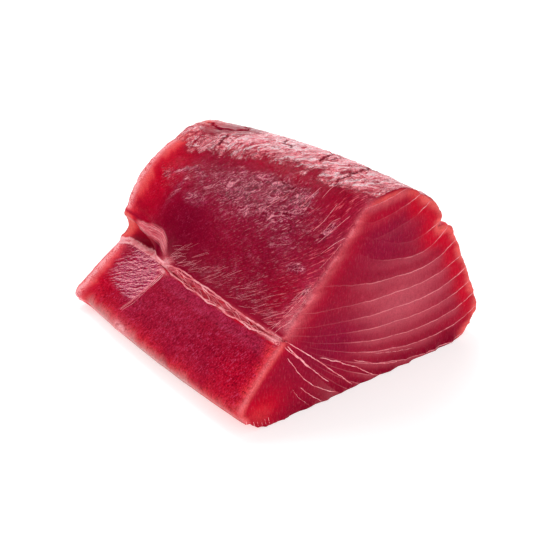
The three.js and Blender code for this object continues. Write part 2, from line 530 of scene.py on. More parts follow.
# MEMBRANE_GLARE makes the membrane's painted light whiter where it catches the lights, a painted glare, and
# less white where a share is below 0.
MEMBRANE_GLARE = (
    (1.7, (2, 122), (14, 5)),
    (0.8, (-24, 112), (6, 6)),
    (0.8, (-20, 132), (16, 7)),
    (0.5, (44, 121), (10, 5)),
    (-0.5, (-12, 118), (9, 2.5)),
    (-0.8, (-42, 116), (12, 5)),
    (-1.5, (42, 132), (6, 4)),
    (-1.6, (-48, 131), (10, 5)),
)
FROST = (
    (0.62, (12, 93), (28, 12)),
    (0.09, (-18, 92), (16, 9)),
    (0.15, (30, 58), (40, 8)),
    (-0.3, (-4, 105), (16, 4)),
    (-0.35, (-22, 66), (20, 14)),
    (-0.2, (54, 104), (14, 14)),
    (-0.2, (-30, 101), (12, 5)),
    (0.05, (-37, 85), (12, 11)),
    (0.06, (46, 76), (15, 14)),
    (0.4, (-48, 90), (7, 3)),
    (-1, (-34, 60), (14, 9)),
)
DARK = ((0.65, (-20, 66), (20, 17)), (0.4, (40, 84), (16, 14)))
STREAK = ((0.45, (20, 56), (36, 6)), (-0.8, (-22, 70), (20, 16)))
SLOPE_HAZE = ((0.17, (14, 91), (34, 12)), (0.1, (50, 76), (12, 6)))
FLAP_HAZE = ((0.1, (2, 33), (24, 7)), (0.06, (20, 21), (40, 5)), (0.1, (-23, 26), (8, 9)))
# The first spot, at the back end of the slope, is partly a painted glow of light shining through the thin
# meat.
SLOPE_BLOOD = (
    (1, (-48, 88), (13, 24)),
    (0.35, (56, 104), (18, 14)),
    (0.5, (60, 66), (14, 22)),
    (0.4, (0, 108), (50, 6)),
)
FLAP_BLOOD = ((0.85, (-52, 24), (18, 11)), (0.75, (52, 26), (16, 12)))


def patches(x, climb):
    """How much of a paler patch covers each place on the slope."""
    ragged_x = x + 0.7 * wander(climb, 5, 31)
    ragged_climb = climb + 0.7 * wander(x, 6, 32)
    cover = np.zeros_like(x)
    for share, (middle, height), reach, turn in PATCHES:
        turn = math.radians(turn)
        right, up = ragged_x - middle, ragged_climb - height
        along = right * math.cos(turn) + up * math.sin(turn)
        across = up * math.cos(turn) - right * math.sin(turn)
        cover = np.maximum(cover, share * step(0.1, 0.7, blob(along, across, (0, 0), reach)))
    return cover


class Side:
    """Places on the long sides, and how much of each belongs to the slope, the flap and so on."""

    def __init__(self, x, climb, lip):
        self.x = x
        self.climb = climb
        self.lip = lip
        self.slope = step(lip - 1, lip + 2, climb) * (1 - step(FILM_CLIMB, FILM_CLIMB + 8, climb))
        self.flap = 1 - step(SEAM_CLIMB - 2, SEAM_CLIMB + 1, climb)
        self.far = step(FILM_TOP - 2, FAR_CLIMB, climb)
        self.start = along_line(x, FILM_START)
        self.from_cut = HALF_LENGTH - x + 2 * wander(climb, 17, 8)
        self.past_ripples = x + 21.5 + 0.012 * (climb - 42) ** 2
        self.paler = self.slope * patches(x, climb)

    def blob(self, centre, reach):
        """A soft spot at [x, climb]."""
        return blob(self.x, self.climb, centre, reach)

    def spots(self, rows):
        """Soft spots added up."""
        total = np.zeros_like(self.x)
        for share, centre, reach in rows:
            total += share * self.blob(centre, reach)
        return total

    def strongest(self, rows):
        """The strongest of several soft spots at each place."""
        return np.max([share * self.blob(centre, reach) for share, centre, reach in rows], axis=0)


def film_look(side):
    """Membrane on the ridge, thin where it begins and torn open in places."""
    x, climb, start = side.x, side.climb, side.start
    soft = np.interp(x, (30, 43), (6, 1.5))
    film = 0.1 + 0.6 * step(start - soft, start + 1, climb)
    film += 0.3 * step(start, start + soft + 3, climb)
    film += 0.15 * step(119, 130, climb) + 0.2 * side.blob((5, 122), (15, 5))
    film *= step(start - soft - 6, start - soft, climb)
    film *= 1 - step(FILM_TOP - 12, FILM_TOP + 2, climb + 4 * wander(x, 47, 14))
    for share, centre, reach in FILM_HOLES:
        film *= 1 - share * side.blob(centre, reach)
    return film


def frost_sheen_look(side):
    """Crumpled film on the slope, which gets a painted sheen and painted shade, with a little of it on the
    flap.
    """
    frost = 0.16 + side.spots(FROST) - 0.3 * (1 - step(-54, -44, side.x))
    frost = side.slope * frost + 0.8 * side.paler
    frost += 0.08 * side.flap * step(TOE_CLIMB, TOE_CLIMB + 6, side.climb)
    return np.clip(frost, 0, 1)


def haze_sheen_look(side):
    """Bluish haze, partly the meat's own tone and partly a painted sheen of the soft lights in the wet
    skin: broad patches, and bands beside the front cut and the seam.
    """
    x, climb = side.x, side.climb
    flap = side.spots(FLAP_HAZE) + 0.2 * band(40.5, 44, 2.5, climb) * step(-22, -16, x)
    slope = side.spots(SLOPE_HAZE)
    slope += (1 - step(1, 13, side.from_cut)) * (0.32 - 0.2 * step(64, 84, climb))
    return side.flap * flap + side.slope * slope + 0.35 * side.paler


def orange_look(side):
    """Thin edges that light shines through: the toe and the rims of both cuts."""
    x, climb = side.x, side.climb
    rim = x + 4 * wander(climb, 24, 6)
    upper = side.slope + 0.9 * step(side.start - 2, side.start + 4, climb)
    toe = 1 - step(TOE_CLIMB - 12, TOE_CLIMB + 12, climb + 2 * wander(x, 30, 4))
    edges = [
        upper * (1 - step(-64, -46, rim)),
        side.flap * (1 - step(-64, -50, rim)),
        0.5 * side.flap * step(53, 63, rim),
        0.68 * toe,
        0.3 * side.blob((-52, 126), (9, 12)),
    ]
    orange = np.clip(np.max(edges, axis=0), 0, 1)
    return np.maximum(orange, 0.45 * side.far * (1 - step(168, 200, climb)))


def hatch_look(side):
    """Ripples on the back of the flap."""
    hatch = 1 - step(-1.2, 0.2, side.past_ripples)
    hatch *= band(29, 45, 5, side.climb) * step(-60, -42, side.x)
    hatch *= 1 - 0.8 * side.blob((-50, 24), (12, 9))
    return hatch * (1 - 0.6 * side.blob((-50, 41), (8, 5)))


def pale_and_highlight_look(side):
    """Palest lines: pale tissue at the seam, the ripples and the tail, and painted highlights along the toe
    and the rounded edges of both cuts.
    """
    x, climb = side.x, side.climb
    from_front, from_back = HALF_LENGTH - x, HALF_LENGTH + x
    rim = 2.5 + 6 * (1 - step(54, 80, climb))
    ripple_edge = (1 - step(-1.2, 0.2, side.past_ripples)) * step(-3, -0.6, side.past_ripples)
    tail = band(-1.3, 1.3, 0.9, climb - along_line(x, TAIL)) * (1 - step(-24, -18, x))
    lines = [
        # Painted highlight: a whitish streak and spot along the toe, where it reflects the pale
        # surroundings.
        0.7 * band(8, 11, 1.5, climb) * band(-50, -20, 6, x),
        0.8 * side.blob((-22, 14.5), (8, 3)),
        0.35 * side.blob((-59, 41), (4, 6)),
        1.2 * side.flap * side.blob((-22, 45), (4, 2)),
        0.8 * side.blob((-22, 50.5), (4, 2.5)),
        0.2 * band(46, 50, 1, climb) * step(-20, -10, x),
        0.8 * band(46, 50, 1, climb) * step(46, 60, x),
        # Painted highlight along the rounded edges of the slope and the flap at both cuts.
        0.6 * side.slope * (1 - step(0.5, rim, from_front)),
        0.4 * side.flap * (1 - step(0.5, 3, from_front)),
        0.8 * (side.slope + side.flap) * (1 - step(2, 9, from_back)),
        0.35 * side.flap * ripple_edge * band(24, 44, 5, climb),
        0.6 * side.flap * (1 - step(-61, -52, x)) * step(33, 44, climb),
        1.5 * tail,
    ]
    return np.max(lines, axis=0)


def add_hollow_looks(looks, side):
    """Adds the hollow at the back of the seam, with painted shade deep in it, and the membrane on its lip
    with a painted shadow under it.
    """
    x, climb, lip = side.x, side.climb, side.lip
    hollow = (1 - step(-30, -25, x)) * step(SEAM_CLIMB, SEAM_CLIMB + 2, climb)
    hollow *= 1 - step(lip - 1.5, lip + 0.5, climb)
    deep = 1 - step(SEAM_CLIMB + 3, SEAM_CLIMB + 12, climb)
    wall = (1 - step(-61, -48, x)) * (1 - 0.8 * deep * step(-61, -54, x))
    top, bottom = along_line(x, LIP_TOP), along_line(x, LIP_BOTTOM)
    # Painted shade: dark deep in the hollow, and a painted shadow in the band under the membrane that hangs
    # from the lip.
    shade_under_lip = band(-51, -31, 4, x) * band(bottom - 7.5, bottom + 0.2, 1, climb)
    looks["dark"] = np.maximum.reduce([looks["dark"], hollow * deep * step(-56, -42, x), shade_under_lip])
    looks["blood"] = np.maximum(looks["blood"], hollow * (1 - deep)) * (1 - 0.7 * shade_under_lip)
    looks["orange"] = np.maximum(looks["orange"], 0.95 * hollow * wall) * (1 - 0.8 * shade_under_lip)
    looks["lip"] = 0.9 * band(-48, -27, 4, x) * band(bottom + 0.3, top, 1.4, climb)
    looks["pleat"] = 9 * np.clip((climb - bottom) / np.maximum(top - bottom, 0.5), -1, 2)


def skin_looks(x, climb, lip):
    """Looks on the long sides, from x, climb, and the climb of the slope's lower lip."""
    side = Side(x, climb, lip)
    slope, flap, far = side.slope, side.flap, side.far
    looks = {name: np.zeros_like(x) for name in LOOKS}
    looks["film"] = film_look(side)
    # Painted glare on the membrane.
    looks["white"] = side.spots(MEMBRANE_GLARE)
    looks["frost"] = frost_sheen_look(side)
    looks["haze"] = haze_sheen_look(side)
    looks["orange"] = orange_look(side)
    looks["hatch"] = hatch_look(side)
    looks["pale"] = pale_and_highlight_look(side)
    mottled = slope * (0.4 + 0.4 * looks["frost"]) + flap
    looks["mottle"] = mottled * step(-60, -46, x) * step(TOE_CLIMB - 10, TOE_CLIMB + 6, climb)
    looks["dark"] = slope * (0.35 + side.spots(DARK))
    flap_blood = flap * np.maximum(side.strongest(FLAP_BLOOD), 0.2)
    looks["blood"] = np.maximum.reduce([slope * side.strongest(SLOPE_BLOOD), flap_blood, 0.35 * far])
    streaks = slope * (0.1 + side.spots(STREAK) + 0.85 * step(28, 58, x)) + 0.12 * flap
    looks["streak"] = np.clip(streaks, 0, 1)
    # Painted sheen along the foot of the flap.
    rind = 0.9 * band(3, 11, 7, climb - 1.5 * wander(x, 21, 9))
    looks["rind"] = rind * step(-56, -48, x) * (1 - 0.6 * step(24, 46, x))
    near_cut = slope * (1 - step(0, 5 + 4 * (1 - step(54, 84, climb)), side.from_cut))
    looks["pink"] = np.maximum(0.45 * far, 0.6 * near_cut)
    looks["septa"] = 0.8 * far
    looks["glow"] = 0.6 * far
    looks["ribbon"] = band(SEAM_CLIMB - 0.4, LIP_CLIMB - 1.6, 0.8, climb) * step(-30, -22, x)
    add_hollow_looks(looks, side)
    return looks


def cut_looks(y, z, gaps):
    """Looks on a cut face, from [y, z] and the distances to its outline's stretches."""
    looks = {name: np.zeros_like(y) for name in LOOKS}
    flap, base = gaps["flap"], gaps["base"]
    slope = gaps["slope"] + 1.3 * wander(z, 11, 1)
    crown = gaps["crown"] + 1.2 * wander(y, 18, 2)
    far = gaps["far"] + 1.4 * wander(z, 15, 3)
    core = step(3, 14, far) * step(2, 12, slope)
    right = step(-14, 2, y)
    inner = step(46, 54, z) * step(4, 9, np.minimum(far, crown))
    corner = blob(y, z, (-38, 40), (12, 12))
    middle = 0.8 * blob(y, z, (16, 29), (22, 13)) * core
    # Pink is paler meat in the middle, and along the edge with the slope partly a painted highlight where
    # light comes through the rounded edge.
    looks["pink"] = np.maximum(middle, 0.65 * fade(slope, 3.2 + 2.5 * corner))
    looks["purple"] = core * (blob(y, z, (-18, 24), (18, 11)) + blob(y, z, (8, 59), (15, 12)))
    looks["blood"] = np.maximum.reduce(
        [
            0.9 * fade(far - 6, 5) * step(6, 20, base),
            0.35 * fade(crown - 7, 4),
            0.2 * fade(slope - 5, 4),
            blob(y, z, (-53, 9), (11, 8)),
            0.5 * (1 - step(0, 9, flap)),
        ]
    )
    looks["orange"] = np.maximum.reduce(
        [
            0.7 * fade(far, 3.6) * step(2, 10, base),
            0.5 * fade(crown, 4),
            0.25 * fade(slope, 4.5),
            0.55 * fade(flap, 2.4),
            0.25 * blob(y, z, (-54, 6), (8, 6)),
        ]
    )
    # Painted shade: darker along the foot of the cut, near the floor.
    looks["dark"] = 0.75 * (1 - step(1, 12, base)) * step(-46, -36, y) * (0.6 + 0.4 * step(0, 45, y))
    # Painted highlight along the rounded edges with the slope and the flap.
    foot = 1 + 1.2 * blob(y, z, (-38, 40), (9, 9))
    looks["pale"] = 0.5 * np.maximum(fade(slope, foot), fade(flap, 1.3))
    septa = np.clip(0.35 + 0.65 * right, 0, 1) * step(-46, -40, y) + 0.25 * fade(far - 5, 5)
    septa *= 1 - 0.75 * blob(y, z, (-22, 30), (16, 9))
    septa *= 1 - 0.8 * blob(y, z, (-8, 58), (14, 12))
    looks["septa"] = septa * (1 - 0.9 * inner)
    looks["glow"] = right * step(6, 14, far) * (1 - 0.8 * inner)
    looks["cut"] = np.ones_like(y)
    looks["streak"] = np.full_like(y, 0.05)
    return looks


# How far the fibres lean along x for each millimetre of climb, from [climb, lean] points.
FIBRE_LEAN = ((0, 0.25), (30, 0.4), (44, 0.8), (55, 1.5), (105, 0.35), (150, 0.5), (400, 0.5))


def fibre_map(x, climb):
    """Distance across the fibres and along them, on the near side."""
    pace = 0.5
    table = np.arange(0, 400, pace)
    lean = along_line(table, FIBRE_LEAN)
    drift = np.concatenate([[0], np.cumsum((lean[1:] + lean[:-1]) / 2 * pace)])
    return x - np.interp(climb, table, drift), climb


def crack_gap(x, climb):
    """Distance to the nearest crack in the membrane, in widths of that crack."""
    points = np.stack([x + 1.5 * wander(climb, 9, 15), climb + 1.2 * wander(x, 8, 16)], axis=1)
    gap = np.full(len(x), UNCRACKED)
    near = (climb > CRACKED[0]) & (climb < CRACKED[1])
    for width, *crack in CRACKS:
        away = distance_to(points[near], np.array(crack, dtype=float)) / width
        gap[near] = np.minimum(gap[near], away)
    return gap


def outline_gaps(skin, row, places):
    """Distances from [y, z] places to the stretches of one row's outline."""
    stretches = {
        "far": (HEEL_UNDER, CROWN - 1),
        "crown": (LOBE_SIDE + 2, SHOULDER + 2),
        "slope": (SHOULDER + 3, LOBE_EDGE + 2),
        "flap": (FLAP - 2, TOE + 5),
        "base": (BASE_FIRST, HEEL_UNDER),
    }
    return {name: distance_to(places, skin.stretch(row, *ends)) for name, ends in stretches.items()}


def body_row(skin, row):
    """The row where the rounding of an end row's cut has grown to the full section."""
    full = math.copysign(HALF_LENGTH - EDGE_ROUND, skin.x[row])
    return int(np.argmin(np.abs(skin.x - full)))


def side_faces(rows, columns):
    """Faces that join the rows of the skin."""
    faces = []
    ring = np.arange(columns)
    for row in range(rows - 1):
        first = row * columns + ring
        second = row * columns + (ring + 1) % columns
        faces.extend(np.stack([first, first + columns, second + columns, second], axis=1).tolist())
    return faces


def cut_faces(skin, row, offset, spacing, seed):
    """Points inside an end row's cut, which are numbered from offset, and the faces that fill it."""
    columns = skin.points.shape[1]
    inner, triangles = fill_cut(skin.points[row, :, 1:], spacing, seed)
    first = row * columns
    faces = [[first + i if i < columns else offset + i - columns for i in face] for face in triangles]
    return inner, faces if row == 0 else [face[::-1] for face in faces]


def lip_climb(skin):
    """Climb of the slope's lower lip in each row."""
    column = int(np.argmin(np.abs(skin.ring_place - (LOBE_EDGE + 2))))
    return skin.climb[:, column]


def all_looks(skin, cuts):
    """Every look on the long sides, which turn into the cuts at their ends, and then on the cuts."""
    columns = skin.points.shape[1]
    x, y, z = skin.points.reshape(-1, 3).T
    looks = skin_looks(x, skin.climb.ravel(), np.repeat(lip_climb(skin), columns))
    parts = [looks]
    for row, inner in cuts.items():
        body = body_row(skin, row)
        cutness = 1 - step(0, 1.2 * EDGE_ROUND, np.abs(x - skin.x[row]))
        near = cutness > 0
        rounding = np.column_stack([y[near], z[near]])
        on_cut = cut_looks(*rounding.T, outline_gaps(skin, body, rounding))
        for name in LOOKS:
            looks[name][near] += (on_cut[name] - looks[name][near]) * cutness[near]
        parts.append(cut_looks(*inner.T, outline_gaps(skin, body, inner)))
    return {name: np.concatenate([part[name] for part in parts]) for name in LOOKS}


def layer_values(points, cut):
    """The number of the layer at each point, and the gap between its boundaries there."""
    x, y, z = points.T
    number, gap = layer_number(y, z)
    gap = np.minimum(gap, 12)
    side_gap = 1 / np.sqrt((1 / np.maximum(gap, 0.5)) ** 2 + (1 / LAYER_PITCH_X) ** 2)
    uneven = 0.05 * wander(y, 26, 12) + 0.03 * wander(z, 19, 13)
    layer = number + (HALF_LENGTH - x) / LAYER_PITCH_X + uneven * cut
    return {"layer": layer, "layer_gap": gap + (side_gap - gap) * (1 - cut)}


def fibre_vectors(points, climb, cut):
    """Places across and along the fibres. They run upright on the cuts and lengthways on the back."""
    across, along = points[:, 1].copy(), points[:, 2].copy()
    count = len(climb)
    x = points[:count, 0]
    side_across, side_along = fibre_map(x, climb)
    far = step(FILM_TOP - 2, FILM_TOP + 14, climb)
    side_across = side_across * (1 - far) + climb * far
    side_along = side_along * (1 - far) + x * far
    on_side = 1 - cut[:count]
    across[:count] += (side_across - across[:count]) * on_side
    along[:count] += (side_along - along[:count]) * on_side
    return np.column_stack([across, along, np.zeros_like(across)])


def make_skin_mesh(skin, spacing, seed):
    """The whole skin as a mesh that carries the looks of every place as attributes."""
    rows, columns = skin.points.shape[:2]
    grid, climb = skin.points.reshape(-1, 3), skin.climb.ravel()
    points, faces, cuts = [grid], side_faces(rows, columns), {}
    count = len(grid)
    for row, coarser in ((0, FRONT_COARSER), (rows - 1, BACK_COARSER)):
        cuts[row], filling = cut_faces(skin, row, count, coarser * spacing, seed)
        faces += filling
        points.append(np.column_stack([np.full(len(cuts[row]), skin.x[row]), cuts[row]]))
        count += len(cuts[row])
    points = np.concatenate(points)

    values = all_looks(skin, cuts)
    cut = values["cut"]
    values["free"] = step(0.5, 6, points[:, 2])
    values.update(layer_values(points, cut))
    values["crack"] = np.full(len(points), UNCRACKED)
    values["crack"][: len(grid)] = crack_gap(grid[:, 0], climb)
    values["ends"] = HALF_LENGTH - np.abs(points[:, 0]) + 10 * (cut > 0.999)

    mesh = bpy.data.meshes.new("loin_flesh")
    mesh.from_pydata((points * MM).tolist(), [], faces)
    for name, value in values.items():
        mesh.attributes.new(name, "FLOAT", "POINT").data.foreach_set("value", value.astype(np.float32))
    fibre = fibre_vectors(points, climb, cut).astype(np.float32)
    mesh.attributes.new("fibre", "FLOAT_VECTOR", "POINT").data.foreach_set("vector", fibre.ravel())
    mesh.polygons.foreach_set("use_smooth", np.ones(len(mesh.polygons), dtype=bool))
    mesh.update()
    return mesh


# ---------------------------------------------------------------- node trees


class Field:
    """A number that nodes work out, so that a tree can be written as arithmetic."""

    def __init__(self, nodes, socket):
        self.nodes = nodes
        self.socket = socket

    def __add__(self, other):
        return self.nodes.math("ADD", self, other)

    def __sub__(self, other):
        return self.nodes.math("SUBTRACT", self, other)

    def __rsub__(self, other):
        return self.nodes.math("SUBTRACT", other, self)

    def __mul__(self, other):
        return self.nodes.math("MULTIPLY", self, other)

    def __rtruediv__(self, other):
        return self.nodes.math("DIVIDE", other, self)

    def __abs__(self):
        return self.nodes.math("ABSOLUTE", self)

    __radd__ = __add__
    __rmul__ = __mul__

    def most(self, other):
        """The greater of two numbers."""
        return self.nodes.math("MAXIMUM", self, other)

    def rise(self, low, high):
        """0 below low and 1 above high, smoothly. Low may be the greater."""
        feeds = {"Value": self, "From Min": low, "From Max": high}
        node = self.nodes.add("ShaderNodeMapRange", feeds, interpolation_type="SMOOTHSTEP")
        return Field(self.nodes, node.outputs[0])


class Nodes:
    """Short ways to add nodes to a tree and join them."""

    def __init__(self, tree):
        self.tree = tree

    def add(self, kind, feeds=None, **settings):
        """Adds a node, sets its properties, and feeds its inputs from values or sockets."""
        node = self.tree.nodes.new(kind)
        for name, value in settings.items():
            setattr(node, name, value)
        for key, value in (feeds or {}).items():
            self.feed(node.inputs[key], value)
        return node

    def feed(self, socket, value):
        """Links a socket or a field to an input, or sets the input's value."""
        value = getattr(value, "socket", value)
        if isinstance(value, bpy.types.NodeSocket):
            self.tree.links.new(value, socket)
        else:
            socket.default_value = value

    def fields(self, node):
        """A node's outputs as fields, by name."""
        return {socket.name: Field(self, socket) for socket in node.outputs}

    def math(self, operation, *values):
        """One step of arithmetic."""
        node = self.add("ShaderNodeMath", dict(enumerate(values)), operation=operation)
        return Field(self, node.outputs[0])

    def vector(self, operation, first, second):
        """One step of vector arithmetic."""
        key = 3 if operation == "SCALE" else 1
        node = self.add("ShaderNodeVectorMath", {0: first, key: second}, operation=operation)
        return Field(self, node.outputs["Value" if operation == "DOT_PRODUCT" else "Vector"])

    def join(self, **parts):
        """A vector of X, Y and Z."""
        return self.add("ShaderNodeCombineXYZ", parts).outputs[0]

    def part(self, vector, name):
        """One part of a vector."""
        return Field(self, self.add("ShaderNodeSeparateXYZ", {0: vector}).outputs[name])

    def mix(self, factor, first, second):
        """A colour between two colours."""
        feeds = {0: factor, 6: opaque(first), 7: opaque(second)}
        return self.add("ShaderNodeMix", feeds, data_type="RGBA").outputs[2]

    def noise(self, vector, size, detail=2.0, roughness=0.5, seed=0.0):
        """Smooth noise with lumps of a size, in the vector's own unit."""
        feeds = {"Vector": vector, "W": seed, "Scale": 1.0 / size, "Detail": detail, "Roughness": roughness}
        return Field(self, self.add("ShaderNodeTexNoise", feeds, noise_dimensions="4D").outputs[0])

    def stored(self, name, kind="FLOAT"):
        """What the mesh keeps under a name, in a geometry tree."""
        node = self.add("GeometryNodeInputNamedAttribute", {"Name": name}, data_type=kind)
        return Field(self, node.outputs[0])


def node_of(tree, kind):
    """The node of a kind that a new tree begins with."""
    return next(node for node in tree.nodes if node.type == kind)


def set_constants(node, constants):
    """Sets a node's inputs that don't change over the surface."""
    for name, value in constants.items():
        node.inputs[name].default_value = value


def opaque(colour):
    """A colour as a node socket wants it: one from another node, or a user's with an alpha."""
    return colour if isinstance(colour, bpy.types.NodeSocket) else (*colour, 1.0)


def group_sockets(tree, inputs, outputs):
    """Gives a node group its named inputs and outputs."""
    for name, kind, default in inputs:
        socket = tree.interface.new_socket(name, in_out="INPUT", socket_type=kind)
        if default is not None:
            socket.default_value = default
    for name, kind in outputs:
        tree.interface.new_socket(name, in_out="OUTPUT", socket_type=kind)


def moist_grain_group():
    """Grain of moist tissue, shared by the flesh and its threads. Its vector is in millimetres."""
    tree = bpy.data.node_groups.new("MoistGrain", "ShaderNodeTree")
    sizes = [("Fine Size", "NodeSocketFloat", 0.5), ("Broad Size", "NodeSocketFloat", 5.0)]
    outputs = [(name, "NodeSocketFloat") for name in ("Tone", "Height")]
    group_sockets(tree, [("Vector", "NodeSocketVector", None), *sizes], outputs)
    nodes = Nodes(tree)
    given = nodes.fields(nodes.add("NodeGroupInput"))
    fine = nodes.noise(given["Vector"], given["Fine Size"], 3.0, 0.6, 1.0)
    broad = nodes.noise(given["Vector"], given["Broad Size"], 3.0, 0.55, 2.0)
    nodes.add("NodeGroupOutput", {"Tone": 0.4 * fine + 0.6 * broad, "Height": fine})
    return tree


def shader_tree(name):
    """A new material's nodes, with its principled shader and position in millimetres."""
    material = bpy.data.materials.new(name)
    material.use_nodes = True
    nodes = Nodes(material.node_tree)
    shader = node_of(material.node_tree, "BSDF_PRINCIPLED")
    place = nodes.add("ShaderNodeTexCoord").outputs["Object"]
    return material, nodes, shader, nodes.vector("SCALE", place, 1 / MM)


def grain_fields(nodes, group, place, fine, broad):
    """Places the shared grain group in a material and gives its tone and height."""
    feeds = {"Vector": place, "Fine Size": fine, "Broad Size": broad}
    node = nodes.add("ShaderNodeGroup", node_tree=group)
    for name, value in feeds.items():
        nodes.feed(node.inputs[name], value)
    found = nodes.fields(node)
    return found["Tone"], found["Height"]


def ripple_vector(nodes, place):
    """A place measured along and across the ripples on the flap, in its own unit."""
    along = nodes.vector("DOT_PRODUCT", place, (0.86, 0.324, 0.347))
    across = nodes.vector("DOT_PRODUCT", place, (-0.475, 0.587, 0.628))
    return nodes.join(X=0.28 * along, Y=across)


def emboss_lighting(nodes, vector, size, to_light, gain, seed):
    """Painted light: how squarely a crumpled surface faces the light, whose direction is given: above 0.5
    is towards it, below is away.
    """
    here = nodes.noise(vector, size, 4.0, 0.7, seed)
    ahead = nodes.noise(nodes.vector("ADD", vector, to_light), size, 4.0, 0.7, seed)
    return gain * (here - ahead) + 0.5


def crumpled_vector(nodes, fibre, place):
    """The fibre vector bent about, so that what is drawn along it swirls and folds."""
    bend = nodes.join(X=nodes.noise(place, 7.0, 2.0, 0.6, 22.0), Y=nodes.noise(place, 7.0, 2.0, 0.6, 23.0))
    bent = nodes.vector("ADD", fibre, nodes.vector("SCALE", bend, 16.0))
    return nodes.vector("MULTIPLY", bent, (1.0, 0.6, 0.0))


class FleshPaint:
    """Wet raw meat, painted in layers from its deepest tones to the specks on top.

    Each lay method adds one finish, and some keep a field that a later one needs.
    """

    def __init__(self, colours, group):
        self.material, self.nodes, self.shader, self.place = shader_tree("loin_flesh")
        self.colours = colours
        self.colour = colours.flesh
        nodes, place = self.nodes, self.place
        self.tone, self.height = grain_fields(nodes, group, place, 0.55, 6.0)
        self.fibre = nodes.add("ShaderNodeAttribute", attribute_name="fibre").outputs["Vector"]
        self.fine = nodes.noise(self.along(0.25), 0.6, 3.0, 0.65, 6.0)
        self.strand = nodes.noise(self.along(0.16), 0.8, 2.0, 0.6, 12.0)
        self.sliver = nodes.noise(self.along(0.3), 0.75, 2.0, 0.7, 24.0)
        self.broad = nodes.noise(place, 9.0, 3.0, 0.55, 7.0)
        self.blotch = nodes.noise(place, 2.4, 3.0, 0.6, 8.0)
        self.grit = nodes.noise(place, 0.8, 3.0, 0.7, 15.0)
        self.flake = nodes.noise(nodes.vector("MULTIPLY", place, (0.7, 1.0, 1.0)), 4.5, 5.0, 0.68, 16.0)
        self.sparkle = nodes.noise(place, 0.85, 2.0, 0.7, 21.0)
        self.crumpled = crumpled_vector(nodes, self.fibre, place)
        # Painted light on the small crumples and the larger ledges: how squarely each faces the light.
        self.crumple = emboss_lighting(nodes, self.crumpled, 1.5, (-0.34, 0.2, 0.0), 3.0, 18.0)
        self.ledge = emboss_lighting(nodes, self.crumpled, 5.0, (-1.1, 0.6, 0.0), 3.0, 19.0)

    def along(self, squeeze):
        """The fibre vector, drawn out along the fibres."""
        return self.nodes.vector("MULTIPLY", self.fibre, (1.0, squeeze, 0.0))

    def look(self, name):
        """One of the looks that the mesh carries."""
        return Field(self.nodes, self.nodes.add("ShaderNodeAttribute", attribute_name=name).outputs["Fac"])

    def lay(self, share, colour):
        """Covers a share of what is painted so far with a colour."""
        self.colour = self.nodes.mix(share, self.colour, colour)

    def lay_tones(self):
        """Broad tones of the meat, and the thin edges that light shines through."""
        # Haze, laid here among the tones, is partly a painted sheen.
        for name in ("pink", "purple", "dark", "blood", "haze"):
            self.lay(self.look(name), getattr(self.colours, name))
        cut = self.look("cut")
        glowing = self.look("orange") * self.broad.rise(0.1, 0.5)
        self.lay(glowing.rise(0.0, 0.6) * (1.0 - 0.8 * cut), self.colours.vivid)
        self.lay((0.2 * cut + glowing).rise(0.25, 1.0), self.colours.orange)
        # Painted greyish sheen along the foot of the flap.
        self.lay(self.look("rind"), self.colours.rind)

    def lay_sheen_and_shade(self):
        """Crumpled film in patches, with a painted sheen on the lit side of each crumple and painted shade
        on the other.
        """
        frosted = self.look("frost")
        # How squarely each crumple faces the light, for the painted sheen and shade below.
        facing = 0.5 * self.ledge + 0.5 * self.crumple
        bloom = 0.3 * self.grit + 0.45 * self.broad + 0.6 * self.flake + 0.35 * frosted
        bloom = bloom.rise(0.74, 0.94) * frosted.rise(0.0, 0.5)
        self.frost = bloom * (0.85 * facing.rise(0.5, 0.6) + 0.1)
        sheen = 0.7 * facing.rise(0.52, 0.66)
        self.lay(self.frost, self.nodes.mix(sheen, self.colours.haze, self.colours.film))
        # Painted shade in the creases and on the shaded side of each crumple.
        crease_shade = abs(self.flake - 0.5).rise(0.022, 0.0) * frosted.rise(0.1, 0.6)
        self.lay(0.9 * crease_shade.most(facing.rise(0.49, 0.4) * bloom), self.colours.dark)

    def lay_mottle(self):
        """Light and dark mottling of the skin."""
        mottled = self.look("mottle")
        mottle = 0.45 * self.fine + 0.2 * self.height + 0.15 * self.blotch + 0.2 * self.sparkle
        patchy = 0.45 * self.broad.rise(0.35, 0.6) + 0.25
        # The light mottles take the haze colour, which is partly a painted sheen.
        self.lay(mottled * mottle.rise(0.5, 0.6) * patchy, self.colours.haze)
        self.lay(0.8 * mottled * mottle.rise(0.5, 0.4), self.colours.dark)

    def lay_grain(self):
        """Faint upright grain on the cuts."""
        cut = self.look("cut")
        self.lay(0.22 * cut * self.fine.rise(0.52, 0.66), self.colours.pink)
        self.lay(0.3 * cut * self.fine.rise(0.48, 0.34), self.colours.dark)

    def lay_streaks(self):
        """Streaks along the fibres: pale crests, partly pale tissue and partly painted highlight, and
        painted shade in the furrows between.
        """
        streaked = self.look("streak")
        bundle = 0.8 * self.strand + 0.25 * self.broad + 0.15 * self.grit + 0.12 * streaked
        self.lay(0.75 * bundle.rise(0.76, 0.84) * streaked.rise(0.0, 0.4), self.colours.tissue)
        # Painted shade in the furrows between the bundles.
        self.lay(0.6 * streaked * self.strand.rise(0.46, 0.36), self.colours.dark)

